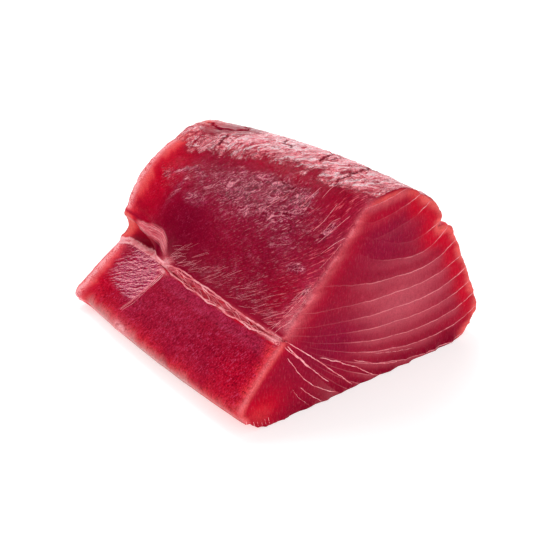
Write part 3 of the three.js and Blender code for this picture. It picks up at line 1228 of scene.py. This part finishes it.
    def lay_layers(self):
        """Layer boundaries, with a lighter pink band just under each that fades towards the next."""
        layer, layer_gap = self.look("layer"), self.look("layer_gap")
        gap = abs(layer - self.nodes.math("ROUND", layer)) * layer_gap + 0.35 * self.broad
        line = gap.rise(0.48, 0.2) * self.look("septa")
        self.line = line * layer_gap.rise(0.9, 3.2) * self.blotch.rise(0.2, 0.5)
        under = self.nodes.math("CEIL", layer) - layer
        self.lay(0.5 * under.rise(0.65, 0.0) * self.look("glow"), self.colours.pink)
        bright = self.line.rise(0.8, 1.5)
        self.lay(self.line, self.nodes.mix(bright, self.colours.septum, self.colours.thread))

    def lay_ripples(self):
        """Ripples on the back of the flap, with a painted highlight on the side of each ripple that faces
        the light.
        """
        hatched = self.look("hatch")
        ripple = emboss_lighting(self.nodes, ripple_vector(self.nodes, self.place), 1.2, (0.0, 0.4, 0.0), 2.2, 9.0)
        ripple = 0.12 * hatched + ripple
        self.hatch = hatched.rise(0.0, 0.5) * ripple.rise(0.44, 0.6)
        tone = self.nodes.mix(ripple.rise(0.58, 0.78), self.colours.haze, self.colours.film)
        self.lay(0.9 * self.hatch, tone)

    def lay_lip(self):
        """Thin membrane that hangs from the hollow's lip, in fine pleats."""
        along_lip = 0.12 * self.nodes.part(self.place, "X")
        pleat = self.nodes.noise(self.nodes.join(X=self.look("pleat"), Y=along_lip), 1.0, 2.0, 0.6, 13.0)
        tone = self.nodes.mix(pleat.rise(0.45, 0.7), self.colours.tissue, self.colours.thread)
        self.lay(0.8 * self.look("lip") * pleat.rise(0.2, 0.5), tone)

    def lay_ribbons(self):
        """Ribbons of membrane over red pockets along the seam."""
        ribbon = self.look("ribbon")
        leaning = self.nodes.vector("MULTIPLY", self.fibre, (0.45, 1.0, 0.0))
        weave = self.nodes.noise(leaning, 2.2, 2.0, 0.5, 14.0)
        self.lay(0.5 * ribbon * weave.rise(0.46, 0.6), self.colours.tissue)
        self.lay(0.9 * ribbon * weave.rise(0.5, 0.4), self.colours.blood)

    def lay_pale_lines_and_highlights(self):
        """Palest rims and lines: pale tissue, and painted highlights on rounded edges and along the toe."""
        pale = self.look("pale") * (self.blotch + self.height).rise(0.6, 1.05)
        self.lay(pale, self.nodes.mix(pale.rise(0.3, 0.85), self.colours.tissue, self.colours.thread))

    def lay_membrane(self):
        """Membrane on the ridge, in clumps where it begins, crumpled, and torn open in places, with painted
        light on its wrinkles: pale lit sides, painted glints, and painted shade in the wrinkles and along
        the folds.
        """
        covered = self.look("film")
        film = 0.35 * self.grit + 0.35 * self.blotch + 0.35 * self.flake + 0.5 * covered
        self.film = 0.92 * film.rise(0.8, 0.96)
        # Painted light: the wrinkles' lit sides take the membrane colour and painted glints, their shaded
        # sides the tissue colour.
        wrinkle_light = emboss_lighting(self.nodes, self.crumpled, 3.2, (-0.7, 0.25, 0.0), 3.0, 17.0)
        white = 0.4 * wrinkle_light + 0.15 * self.crumple + 0.45 * self.ledge + 0.07 * self.look("white")
        sheet = self.nodes.mix(white.rise(0.36, 0.56), self.colours.tissue, self.colours.film)
        sheet = self.nodes.mix(0.6 * self.flake.rise(0.48, 0.6), sheet, self.colours.tissue)
        sheet = self.nodes.mix(0.7 * white.rise(0.54, 0.68), sheet, self.colours.glint)
        self.lay(self.film, sheet)
        folded = self.nodes.noise(self.crumpled, 6.5, 2.0, 0.5, 20.0)
        fold_line = 0.9 * abs(folded - 0.5).rise(0.02, 0.004)
        # Painted shade on the shaded sides of the wrinkles and along the folds, with bare meat showing
        # through in places.
        pit_and_shade = white.rise(0.44, 0.34).most(fold_line).most(0.6 * self.grit.rise(0.44, 0.36))
        self.lay(0.7 * pit_and_shade * covered.rise(0.2, 0.8), self.colours.flesh)
        torn = 1.2 * self.grit + self.look("crack")
        self.torn = torn.rise(1.7, 1.0) * self.blotch.rise(0.2, 0.45)
        self.lay(0.9 * self.torn, self.colours.dark)

    def lay_glints_and_brightness(self):
        """Painted glints as pale specks in the crumpled film, and an uneven brightness over everything."""
        frosted = self.look("frost")
        self.lay(0.7 * self.sliver.rise(0.56, 0.68) * frosted.rise(0.05, 0.5), self.colours.film)
        speckled = 1.3 * frosted + 1.2 * self.look("film") + 1.3 * self.look("mottle")
        value = 0.6 * self.tone + 0.6 * self.height + (self.sparkle - 0.5) * speckled + 0.4
        shade = self.nodes.add("ShaderNodeHueSaturation", {"Color": self.colour, "Value": value})
        self.nodes.feed(self.shader.inputs["Base Color"], shade.outputs[0])

    def set_relief(self):
        """Fine relief, too small for the mesh."""
        frosted, covered = self.look("frost"), self.look("film")
        relief = 0.12 * self.height + 0.8 * self.look("streak") * self.strand
        relief += frosted * (2.0 * self.flake + 0.8 * self.grit) + 0.2 * self.frost
        relief += 0.3 * self.film + 0.9 * covered * self.grit + 0.2 * self.hatch + 0.08 * self.line
        bump = self.nodes.add("ShaderNodeBump", {"Strength": 0.7, "Distance": MM, "Height": relief})
        self.nodes.feed(self.shader.inputs["Normal"], bump.outputs[0])

    def set_gloss(self):
        """Wet gloss, strongest on the crumpled film and absent in the cracks."""
        wet = 0.18 * self.look("film") + 0.25 * self.look("frost") + 0.15 * self.look("pale")
        self.nodes.feed(self.shader.inputs["Coat Weight"], wet * (1.0 - self.torn))
        self.nodes.feed(self.shader.inputs["Roughness"], 0.2 * self.height + 0.2 * self.frost + 0.12)
        constants = {
            "Coat Roughness": 0.14,
            "Specular IOR Level": 0.02,
            "Subsurface Weight": 0.12,
            "Subsurface Radius": (1.0, 0.22, 0.16),
            "Subsurface Scale": 1.5 * MM,
        }
        set_constants(self.shader, constants)


def flesh_material(colours, group):
    """Wet raw meat: layer lines, fibres, membrane and all the tones between them."""
    paint = FleshPaint(colours, group)
    paint.lay_tones()
    paint.lay_sheen_and_shade()
    paint.lay_mottle()
    paint.lay_grain()
    paint.lay_streaks()
    paint.lay_layers()
    paint.lay_ripples()
    paint.lay_lip()
    paint.lay_ribbons()
    paint.lay_pale_lines_and_highlights()
    paint.lay_membrane()
    paint.lay_glints_and_brightness()
    paint.set_relief()
    paint.set_gloss()
    return paint.material


def tissue_material(name, group, darker, paler):
    """Glistening connective tissue between two colours."""
    material, nodes, shader, place = shader_tree(name)
    tone, height = grain_fields(nodes, group, place, 0.4, 3.0)
    nodes.feed(shader.inputs["Base Color"], nodes.mix(tone.rise(0.4, 0.6), darker, paler))
    nodes.feed(shader.inputs["Roughness"], 0.2 * height + 0.22)
    bump = nodes.add("ShaderNodeBump", {"Strength": 0.5, "Distance": MM, "Height": 0.1 * height})
    nodes.feed(shader.inputs["Normal"], bump.outputs[0])
    set_constants(shader, {"Specular IOR Level": 0.2, "Coat Weight": 0.06, "Coat Roughness": 0.2})
    return material


def geometry_tree(name, inputs):
    """A new Geometry Nodes tree, with its inputs by name and its output node."""
    tree = bpy.data.node_groups.new(name, "GeometryNodeTree")
    inputs = [("Geometry", "NodeSocketGeometry", None)] + inputs
    group_sockets(tree, inputs, [("Geometry", "NodeSocketGeometry")])
    nodes = Nodes(tree)
    given = nodes.fields(nodes.add("NodeGroupInput"))
    return tree, nodes, given, nodes.add("NodeGroupOutput")


def finish_tree(nodes, geometry, material, result):
    """Ends a tree by making its instances real and giving them their material."""
    real = nodes.add("GeometryNodeRealizeInstances", {"Geometry": geometry})
    dressed = nodes.add("GeometryNodeSetMaterial", {"Geometry": real.outputs[0], "Material": material})
    nodes.feed(result.inputs[0], dressed.outputs[0])


# Inputs of the relief tree, which are the sizes of the same names.
RELIEF_SIZES = (
    "Swell", "Swell Size", "Fold", "Fold Size", "Ledge", "Ledge Size",
    "Fibre", "Layer Groove", "Hatch", "Crack", "Foot",
)


def relief_tree():
    """Raises and grooves the skin by its looks."""
    inputs = [(name, "NodeSocketFloat", MM) for name in RELIEF_SIZES]
    inputs += [("Seed", "NodeSocketFloat", 0.0), ("Material", "NodeSocketMaterial", None)]
    tree, nodes, given, result = geometry_tree("LoinRelief", inputs)
    place = nodes.add("GeometryNodeInputPosition").outputs[0]
    seed = given["Seed"]
    film, cut, layer = nodes.stored("film"), nodes.stored("cut"), nodes.stored("layer")

    def uneven(vector, size, detail, roughness, variant=seed):
        """Noise about 0, between -1 and 1."""
        return 2.0 * nodes.noise(vector, size, detail, roughness, variant) - 1.0

    # Broad unevenness, with nibbled rims and a foot that bulges out in places.
    height = uneven(place, given["Swell Size"], 2.0, 0.5) * given["Swell"]
    rim = nodes.stored("ends").rise(3.5, 0.5) * given["Fold"]
    height += 1.7 * (uneven(place, 0.0065, 3.0, 0.6) * rim)
    foot = nodes.part(place, "Z").rise(0.006, 0.0) * cut * given["Foot"]
    height += nodes.noise(place, 0.008, 3.0, 0.6, seed).rise(0.4, 0.7) * foot

    # Folds of the membrane, ledges of the crumpled film, and grooves between the fibres of bare meat.
    height += uneven(place, given["Fold Size"], 3.0, 0.6) * given["Fold"] * film
    ledge = uneven(place, given["Ledge Size"], 3.0, 0.6, seed + 5.0) * given["Ledge"]
    height += ledge * nodes.stored("frost").rise(0.0, 0.5)
    stretched = nodes.vector("MULTIPLY", nodes.stored("fibre", "FLOAT_VECTOR"), (1.0, 0.12, 0.0))
    height += uneven(stretched, 2.0, 2.0, 0.5) * given["Fibre"] * (1.0 - film)

    # Grooves between layers, ripples and cracks.
    gap = abs(layer - nodes.math("ROUND", layer)) * nodes.stored("layer_gap")
    depth = given["Layer Groove"] * (1.0 - 0.8 * cut)
    height -= gap.rise(1.6, 0.0) * nodes.stored("septa") * depth
    ripple = uneven(ripple_vector(nodes, place), 0.0016, 1.0, 0.5) * given["Hatch"]
    height += ripple * nodes.stored("hatch")
    height -= nodes.stored("crack").rise(1.3, 0.0) * given["Crack"]

    normal = nodes.add("GeometryNodeInputNormal").outputs[0]
    free = nodes.join(X=1.0, Y=1.0, Z=nodes.stored("free"))
    offset = nodes.vector("MULTIPLY", nodes.vector("SCALE", normal, height), free)
    moved = nodes.add("GeometryNodeSetPosition", {"Geometry": given["Geometry"], "Offset": offset})
    finish_tree(nodes, moved.outputs[0], given["Material"], result)
    return tree


def thread_tree():
    """Draws threads of tissue along paths, laid on the flesh and tapering to their ends."""
    inputs = [
        ("Flesh", "NodeSocketObject", None),
        ("Step", "NodeSocketFloat", 0.0005),
        ("Wobble", "NodeSocketFloat", 0.0005),
        ("Wobble Size", "NodeSocketFloat", 0.004),
        ("Lift", "NodeSocketFloat", 0.0),
        ("Sides", "NodeSocketInt", 8),
        ("Seed", "NodeSocketFloat", 0.0),
        ("Material", "NodeSocketMaterial", None),
    ]
    tree, nodes, given, result = geometry_tree("LoinThread", inputs)
    seed = given["Seed"]

    curve = nodes.add("GeometryNodeMeshToCurve", {"Mesh": given["Geometry"]}).outputs[0]
    feeds = {"Curve": curve, "Length": given["Step"]}
    curve = nodes.add("GeometryNodeResampleCurve", feeds, mode="LENGTH").outputs[0]
    place = nodes.add("GeometryNodeInputPosition").outputs[0]
    stray = (2.0 * nodes.noise(place, given["Wobble Size"], 2.0, 0.6, seed) - 1.0) * given["Wobble"]
    offset = nodes.vector("SCALE", nodes.stored("sideways", "FLOAT_VECTOR"), stray)
    curve = nodes.add("GeometryNodeSetPosition", {"Geometry": curve, "Offset": offset}).outputs[0]

    flesh = nodes.add("GeometryNodeObjectInfo", {"Object": given["Flesh"]}).outputs["Geometry"]
    nearest = nodes.add("GeometryNodeProximity", {0: flesh}, target_element="FACES")
    facing = nodes.add("GeometryNodeSampleNearestSurface", {"Mesh": flesh}, data_type="FLOAT_VECTOR")
    nodes.feed(facing.inputs["Value"], nodes.add("GeometryNodeInputNormal").outputs[0])
    lifted = nodes.vector("SCALE", facing.outputs[0], given["Lift"])
    feeds = {"Geometry": curve, "Position": nearest.outputs["Position"], "Offset": lifted}
    curve = nodes.add("GeometryNodeSetPosition", feeds).outputs[0]

    share = nodes.fields(nodes.add("GeometryNodeSplineParameter"))["Factor"]
    taper = (share * (1.0 - share)).rise(-0.02, 0.08)
    uneven = 1.1 * nodes.noise(place, 0.002, 2.0, 0.6, seed + 11.0) + 0.45
    width = nodes.stored("thickness") * taper * uneven
    circle = nodes.add("GeometryNodeCurvePrimitiveCircle", {"Resolution": given["Sides"], "Radius": 1.0})
    feeds = {"Curve": curve, "Profile Curve": circle.outputs[0], "Scale": width, "Fill Caps": True}
    tube = nodes.add("GeometryNodeCurveToMesh", feeds)
    finish_tree(nodes, tube.outputs[0], given["Material"], result)
    return tree


def apply_tree(piece, tree, values):
    """Runs a node tree on a piece with named inputs, and keeps its result as a plain mesh."""
    modifier = piece.modifiers.new(tree.name, "NODES")
    modifier.node_group = tree
    sockets = {s.name: s.identifier for s in tree.interface.items_tree if s.in_out == "INPUT"}
    for name, value in values.items():
        modifier[sockets[name]] = value
    graph = bpy.context.evaluated_depsgraph_get()
    mesh = bpy.data.meshes.new_from_object(piece.evaluated_get(graph))
    if not mesh.polygons:
        raise RuntimeError(f"{piece.name} came out empty")
    piece.modifiers.clear()
    piece.data = mesh
    mesh.name = piece.name
    mesh.polygons.foreach_set("use_smooth", np.ones(len(mesh.polygons), dtype=bool))
    mesh.update()
    return piece


def new_piece(name, mesh):
    """Puts a mesh in the scene as an object."""
    piece = bpy.data.objects.new(name, mesh)
    bpy.context.scene.collection.objects.link(piece)
    return piece


# ---------------------------------------------------------------- threads

HAIRS = 76
HOLLOW_HAIRS = 12
TAIL_THREADS = 16
EDGE_FIBRES = 30
TOE_TICKS = 7
HAIR_MESH = 20  # points along a short hair
THREAD_SHRINK = 0.8  # a fan thread's radius on the front cut, as a share of the one given below

# Threads fanning down the front cut from the seam: [y, z] at both ends, how far the middle bows
# towards the base, and the radius.
FAN = (
    ((-41.5, 33.5), (-7, 0.6), -0.6, 0.28),
    ((-26, 21), (5, 0.4), -0.9, 0.26),
    ((-8.4, 13.4), (18, 2.4), 1.4, 0.2),
    ((-3.5, 14.8), (27.4, 5.6), 1.2, 0.15),
    ((-42.6, 32), (-19.3, 6.9), 0.2, 0.24),
    ((-40.8, 31.4), (-30, 18.6), 0.3, 0.34),
    ((-41.2, 27.7), (-15, 0.8), 3.4, 0.22),
    ((-34.5, 11), (-23.2, 0.4), 0.6, 0.2),
    ((-38.5, 12), (-29, 0.3), 0.6, 0.14),
    ((-42, 31), (-33, 10), -1.0, 0.1),
    ((-36, 26), (-12, 4), -0.8, 0.1),
    ((-44, 24), (-36, 4), 1.2, 0.1),
)


def path(points, sideways, radius):
    """One thread's path."""
    points = np.array(points, dtype=float)
    sideways = np.array(sideways, dtype=float)
    if sideways.ndim == 1:
        sideways = np.repeat(sideways[None, :], len(points), axis=0)
    radius = np.broadcast_to(np.array(radius, dtype=float), len(points))
    return points, sideways, radius


def bowed_path(x, start, end, bow, radius):
    """A path on a cut face from start to end, bowed downwards."""
    start, end = np.array(start, dtype=float), np.array(end, dtype=float)
    share = np.linspace(0, 1, 24)[:, None]
    chord = end - start
    side = np.array([chord[1], -chord[0]]) / np.linalg.norm(chord)
    if side[1] > 0:
        side = -side
    line = start + chord * share + side * bow * 4 * share * (1 - share)
    points = np.column_stack([np.full(len(line), x), line])
    return path(points, (0, side[0], side[1]), radius)


def skin_path(skin, places, radius, count=40):
    """A path on the long sides through [x, climb] places."""
    places = np.array(places, dtype=float)
    share = np.linspace(0, len(places) - 1, count)
    numbers = np.arange(len(places))
    x = np.interp(share, numbers, places[:, 0])
    climb = np.interp(share, numbers, places[:, 1])
    points = np.array([skin.at(a, c) for a, c in zip(x, climb)])
    above = np.array([skin.at(a, c + 0.4) for a, c in zip(x, climb)])
    side = above - points
    side /= np.maximum(np.linalg.norm(side, axis=1), 1e-6)[:, None]
    if np.ndim(radius):
        radius = np.interp(share, np.linspace(0, len(places) - 1, len(radius)), radius)
    return path(points, side, radius)


def fan_paths(skin):
    """Threads on the front cut and, turned about, on the back cut."""
    front = skin.x[0]
    paths = [bowed_path(front, *row[:3], THREAD_SHRINK * row[3]) for row in FAN]
    for i in range(TOE_TICKS):
        y = -59.5 + 1.7 * i
        foot = 0.9 + 2.2 * max(0.0, -54 - y) / 5.5
        paths.append(bowed_path(front, (y - 0.4, foot + 3.2), (y + 0.3, foot), 0.1, 0.14))
    back = skin.x[-1]
    for start, end, bow, radius in FAN[:7]:
        start = (start[0] * 0.9 + 1.5, start[1] * 0.8 - 0.4)
        end = (end[0] * 0.9, end[1])
        paths.append(bowed_path(back, start, end, bow, radius))
    return paths


# Lower and upper edges of the seam: [x, climb] points.
SEAM_LOW = ((-26, 46.8), (-20, 46.4), (-10, 45.2), (10, 45.2), (30, 45.4), (50, 46.2), (63.5, 47.6))
SEAM_HIGH = ((-26, 48.4), (-20, 49.6), (-10, 50.6), (10, 50.4), (30, 49.6), (50, 49.2), (63.5, 48.2))

# Strands of the seam: share of the way from its lower to its upper edge, how far it swings about
# that, how fast along x, and the radius.
STRANDS = (
    (1, 0.2, 0.21, 0.3),
    (0.84, 0.5, 0.33, 0.18),
    (0, 0.5, 0.42, 0.3),
    (0.12, 0.6, 0.3, 0.2),
    (0.5, 1.6, 0.26, 0.1),
)

# Edge between the flap's plain part and its rippled back part: [x, climb] points.
FLAP_FOLD = ((-21.5, 44), (-22, 40), (-23, 33), (-25, 26), (-28, 20))


def tail_place(x, away=0.0):
    """A place at x on the line that carries on from the seam, or so far above it."""
    return x, float(along_line(x, TAIL)) + away


def seam_paths(skin):
    """The strands along the seam, the webbing between them, and the edge of the flap's back part."""
    rng = np.random.default_rng(7)
    tail = [tail_place(x) for x in (-26, -34, -44, -54, -62.8)]
    paths = []
    for share, swing, wave, radius in STRANDS:
        start = rng.uniform(0, 6)
        places = []
        for x in np.arange(62.5, -19, -2.0):
            low, high = along_line(x, SEAM_LOW), along_line(x, SEAM_HIGH)
            base = low + (high - low) * share + swing * math.sin(x * wave + start)
            places.append((x, base + rng.uniform(-0.15, 0.15)))
        away = rng.uniform(-0.8, 0.8)
        places += [(x, climb + away) for x, climb in tail[: 5 if radius > 0.25 else 3]]
        widths = radius * rng.uniform(0.75, 1.3, 9)
        paths.append(skin_path(skin, places, widths, 180))
    for x in np.arange(60, -16, -6.5):
        start = x + rng.uniform(-2, 2)
        ends = [along_line(start, SEAM_LOW), along_line(start, SEAM_HIGH)]
        rng.shuffle(ends)
        run = rng.uniform(6, 12)
        middle = (start - run / 2, sum(ends) / 2 + rng.uniform(-0.6, 0.6))
        places = [(start, ends[0]), middle, (start - run, ends[1])]
        paths.append(skin_path(skin, places, rng.uniform(0.07, 0.14), HAIR_MESH))
    for _ in range(TAIL_THREADS):
        away = rng.uniform(-1.3, 1.3)
        first = rng.uniform(-30, -24)
        places = [tail_place(x, away) for x in (first, first - 12, first - 26)]
        paths.append(skin_path(skin, places, rng.uniform(0.12, 0.24), 30))
    for away in (-1.0, 0, 0.8):
        places = [(x + away + rng.uniform(-0.5, 0.5), climb) for x, climb in FLAP_FOLD]
        paths.append(skin_path(skin, places, [0.24, 0.14, 0.1, 0.06], 40))
    return paths


# Single longer hairs on the slope: [x, climb] points.
WISPS = (
    ((52, 87), (54.5, 93), (58.5, 102)),
    ((51.5, 92), (52.6, 97), (55, 99.5)),
    ((41.6, 103), (42.6, 108), (42.8, 113)),
    ((35, 96), (36, 102), (38, 107)),
    ((56, 84), (59, 90), (62, 94)),
    ((47, 90), (49, 96), (50, 104)),
    ((20, 90), (23, 95), (26, 100)),
)


def hair_paths(skin):
    """Fine straight hairs of tissue that run up the slope from the seam."""
    rng = np.random.default_rng(11)
    paths = []
    for _ in range(HOLLOW_HAIRS):
        climb = SEAM_CLIMB + rng.uniform(2, 6)
        run = rng.uniform(4, 9)
        places = [(-24, 48), (-24 + run / 2, climb), (-24 + run, climb + rng.uniform(-1, 4))]
        paths.append(skin_path(skin, places, rng.uniform(0.04, 0.09), HAIR_MESH))
    for _ in range(HAIRS):
        x = rng.uniform(-20, 54)
        climb = LIP_CLIMB + rng.uniform(0.3, 3) ** 2
        run = rng.uniform(3, 11)
        lean = rng.uniform(0.3, 0.9)
        places = [(x - run / 2, climb), (x, climb + lean * run / 2 + rng.uniform(-0.4, 0.4))]
        places.append((x + run / 2, climb + lean * run))
        paths.append(skin_path(skin, places, rng.uniform(0.025, 0.06), HAIR_MESH))
    for wisp in WISPS:
        paths.append(skin_path(skin, wisp, 0.11, 30))
    return paths


def edge_paths(skin):
    """Loose fibres feathered along the slope's edge with the front cut, widest at its foot."""
    rng = np.random.default_rng(5)
    paths = []
    for _ in range(EDGE_FIBRES):
        low = rng.choice([rng.uniform(50, 64), rng.uniform(50, 70), rng.uniform(58, 84)])
        run = rng.uniform(3, 9)
        spread = along_line(low, ((50, 6), (64, 3.5), (100, 1)))
        top = HALF_LENGTH - 0.8 - spread * rng.uniform(0, 1) ** 1.3
        lean = along_line(low, ((50, 0.7), (66, 0.3), (100, 0.1))) * rng.uniform(0.5, 1.3)
        bend = rng.uniform(-0.5, 0.5)
        places = [(top, low + run), (top - lean * run / 2 + bend, low + run / 2), (top - lean * run, low)]
        paths.append(skin_path(skin, places, rng.uniform(0.03, 0.09), 24))
    return paths


def paths_mesh(name, paths):
    """Joins paths into one mesh of edges that carries their widths and sideways directions."""
    points = np.concatenate([p[0] for p in paths])
    sideways = np.concatenate([p[1] for p in paths])
    radius = np.concatenate([p[2] for p in paths])
    edges, offset = [], 0
    for p in paths:
        count = len(p[0])
        edges.extend((offset + i, offset + i + 1) for i in range(count - 1))
        offset += count
    mesh = bpy.data.meshes.new(name)
    mesh.from_pydata((points * MM).tolist(), edges, [])
    mesh.attributes.new("thickness", "FLOAT", "POINT").data.foreach_set("value", radius * MM)
    mesh.attributes.new("sideways", "FLOAT_VECTOR", "POINT").data.foreach_set("vector", sideways.ravel())
    return mesh


def thread_piece(name, paths, lift, wobble, material):
    """Makes one piece of threads lying on the flesh."""
    sizes = bpy.context.scene.loin_sizes
    piece = new_piece(name, paths_mesh(name, paths))
    values = {
        "Flesh": bpy.data.objects["loin_flesh"],
        "Step": 0.5 * MM,
        "Wobble": wobble,
        "Wobble Size": 5 * MM,
        "Lift": lift * MM,
        "Sides": 8,
        "Seed": float(sizes.seed),
        "Material": material,
    }
    tree = bpy.data.node_groups.get("LoinThread") or thread_tree()
    apply_tree(piece, tree, values)
    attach(piece, BODY)
    return piece


def grain_group():
    """The shared grain group, made once."""
    return bpy.data.node_groups.get("MoistGrain") or moist_grain_group()


def shared_tissue(name, paler):
    """A thread material, made once, which varies from the tissue's colour to a paler one."""
    colours = bpy.context.scene.loin_colours
    made = bpy.data.materials.get(name)
    return made or tissue_material(name, grain_group(), colours.tissue, getattr(colours, paler))


SHARED = {}  # holds the skin, which the threads are laid on


class LOIN_OT_flesh(bpy.types.Operator):
    """Make the loin's flesh"""

    bl_idname = "loin.add_flesh"
    bl_label = "Flesh"

    def execute(self, context):
        sizes = context.scene.loin_sizes
        spacing = sizes.grid / MM * 1.0
        skin = Skin(spacing)
        SHARED["skin"] = skin
        piece = new_piece("loin_flesh", make_skin_mesh(skin, spacing, sizes.seed))
        values = {name: getattr(sizes, name.lower().replace(" ", "_")) for name in RELIEF_SIZES}
        values["Seed"] = float(sizes.seed)
        values["Material"] = flesh_material(context.scene.loin_colours, grain_group())
        apply_tree(piece, relief_tree(), values)
        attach(piece, BODY)
        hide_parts(NODE)
        return {"FINISHED"}


class LOIN_OT_seam(bpy.types.Operator):
    """Make the strands and webbing of the seam"""

    bl_idname = "loin.add_seam"
    bl_label = "Seam strands"

    def execute(self, context):
        wobble = context.scene.loin_sizes.thread_wobble
        strands = seam_paths(SHARED["skin"]) + edge_paths(SHARED["skin"])
        thread_piece("seam_strands", strands, 0.0, 0.6 * wobble, shared_tissue("loin_tissue", "thread"))
        hairs = hair_paths(SHARED["skin"])
        thread_piece("slope_hairs", hairs, 0.0, 0.3 * wobble, shared_tissue("loin_hair", "film"))
        return {"FINISHED"}


class LOIN_OT_fan(bpy.types.Operator):
    """Make the threads that fan out across the cuts"""

    bl_idname = "loin.add_fan"
    bl_label = "Cut threads"

    def execute(self, context):
        wobble = 1.3 * context.scene.loin_sizes.thread_wobble
        threads = fan_paths(SHARED["skin"])
        thread_piece("cut_threads", threads, -0.1, wobble, shared_tissue("loin_tissue", "thread"))
        return {"FINISHED"}


# ---------------------------------------------------------------- stage

# The camera's place in metres, where it looks from in degrees, and its lens and sensor.
CAMERA_AT = (0.329309, -0.255576, 0.236646)
CAMERA_AZIMUTH = 51.797
CAMERA_ELEVATION = 27.257
CAMERA_LENS = 71.16
CAMERA_SENSOR = 36

FLOOR_GREY = (0.7, 0.7, 0.7, 1)
WHITE_LIGHT = (1, 1, 1, 1)

# Square soft lights: name, direction from the loin, distance and width in metres, and the setting
# that gives the power.
LIGHTS = (
    ("haze_light", (-0.70, -0.24, 0.66), 0.9, 0.35, "key"),
    ("back_light", (-0.70, 0.68, 0.22), 1.0, 0.8, "back"),
    ("top_light", (-0.42, 0.12, 0.9), 1.0, 0.4, "top"),
    ("front_light", (0.93, -0.3, 0.3), 1.0, 0.9, "fill"),
)


def make_floor(width, glow):
    """A plain pale floor at the loin's base."""
    mesh = bpy.data.meshes.new("floor")
    half = width / 2
    corners = [(-half, -half, 0), (half, -half, 0), (half, half, 0), (-half, half, 0)]
    mesh.from_pydata(corners, [], [(0, 1, 2, 3)])
    material = bpy.data.materials.new("floor")
    material.use_nodes = True
    constants = {
        "Base Color": FLOOR_GREY,
        "Roughness": 0.9,
        "Specular IOR Level": 0.1,
        "Emission Color": WHITE_LIGHT,
        "Emission Strength": glow,
    }
    set_constants(node_of(material.node_tree, "BSDF_PRINCIPLED"), constants)
    mesh.materials.append(material)
    floor = new_piece("floor", mesh)


def make_lights(stage):
    """The lights, all turned to the middle of the loin."""
    middle = (Vector(CAD_BOX[0]) + Vector(CAD_BOX[1])) / 2
    for name, direction, distance, size, power in LIGHTS:
        data = bpy.data.lights.new(name, "AREA")
        data.shape = "SQUARE"
        data.size = size
        data.energy = getattr(stage, power)
        light = bpy.data.objects.new(name, data)
        bpy.context.scene.collection.objects.link(light)
        away = Vector(direction).normalized()
        light.location = middle + away * distance
        light.rotation_euler = away.to_track_quat("Z", "Y").to_euler()


def make_world(strength, in_reflections):
    """A white sky, which is dimmer where the wet flesh reflects it."""
    world = bpy.data.worlds.new("studio")
    world.use_nodes = True
    background = node_of(world.node_tree, "BACKGROUND")
    set_constants(background, {"Color": WHITE_LIGHT})
    nodes = Nodes(world.node_tree)
    glossy = nodes.fields(nodes.add("ShaderNodeLightPath"))["Is Glossy Ray"]
    nodes.feed(background.inputs["Strength"], (in_reflections - strength) * glossy + strength)
    bpy.context.scene.world = world


def make_camera():
    """The camera, from a little above the near end of the front cut."""
    azimuth, elevation = math.radians(CAMERA_AZIMUTH), math.radians(CAMERA_ELEVATION)
    level = math.cos(elevation)
    back = Vector((math.sin(azimuth) * level, -math.cos(azimuth) * level, math.sin(elevation)))
    data = bpy.data.cameras.new("camera")
    data.lens = CAMERA_LENS
    data.sensor_width = CAMERA_SENSOR
    data.clip_start = 0.01
    camera = bpy.data.objects.new("camera", data)
    camera.location = CAMERA_AT
    camera.rotation_euler = back.to_track_quat("Z", "Y").to_euler()
    bpy.context.scene.collection.objects.link(camera)
    bpy.context.scene.camera = camera


class LOIN_OT_stage(bpy.types.Operator):
    """Make the floor, the lights and the camera"""

    bl_idname = "loin.add_stage"
    bl_label = "Stage"

    def execute(self, context):
        stage = context.scene.loin_stage
        make_floor(stage.floor, stage.floor_glow)
        make_lights(stage)
        make_world(stage.world, stage.sheen)
        make_camera()
        context.scene.view_settings.view_transform = "Standard"
        return {"FINISHED"}


class LOIN_PT_panel(bpy.types.Panel):
    """Buttons and settings for the tuna loin"""

    bl_idname = "LOIN_PT_panel"
    bl_label = "Tuna loin"
    bl_space_type = "VIEW_3D"
    bl_region_type = "UI"
    bl_category = "Tuna loin"

    def draw(self, context):
        for operator in OPERATORS:
            self.layout.operator(operator.bl_idname)
        for name, kind in SETTINGS.items():
            box = self.layout.box()
            settings = getattr(context.scene, name)
            for key in kind.__annotations__:
                box.prop(settings, key)


SETTINGS = {"loin_sizes": LoinSizes, "loin_colours": LoinColours, "loin_stage": LoinStage}
OPERATORS = (LOIN_OT_flesh, LOIN_OT_seam, LOIN_OT_fan, LOIN_OT_stage)
CLASSES = (*SETTINGS.values(), *OPERATORS, LOIN_PT_panel)


def register():
    for kind in CLASSES:
        bpy.utils.register_class(kind)
    for name, kind in SETTINGS.items():
        setattr(bpy.types.Scene, name, bpy.props.PointerProperty(type=kind))


def unregister():
    for name in SETTINGS:
        delattr(bpy.types.Scene, name)
    for kind in reversed(CLASSES):
        bpy.utils.unregister_class(kind)


def main():
    register()
    bpy.ops.loin.add_flesh()
    bpy.ops.loin.add_seam()
    bpy.ops.loin.add_fan()
    bpy.ops.loin.add_stage()


if __name__ == "__main__":
    main()
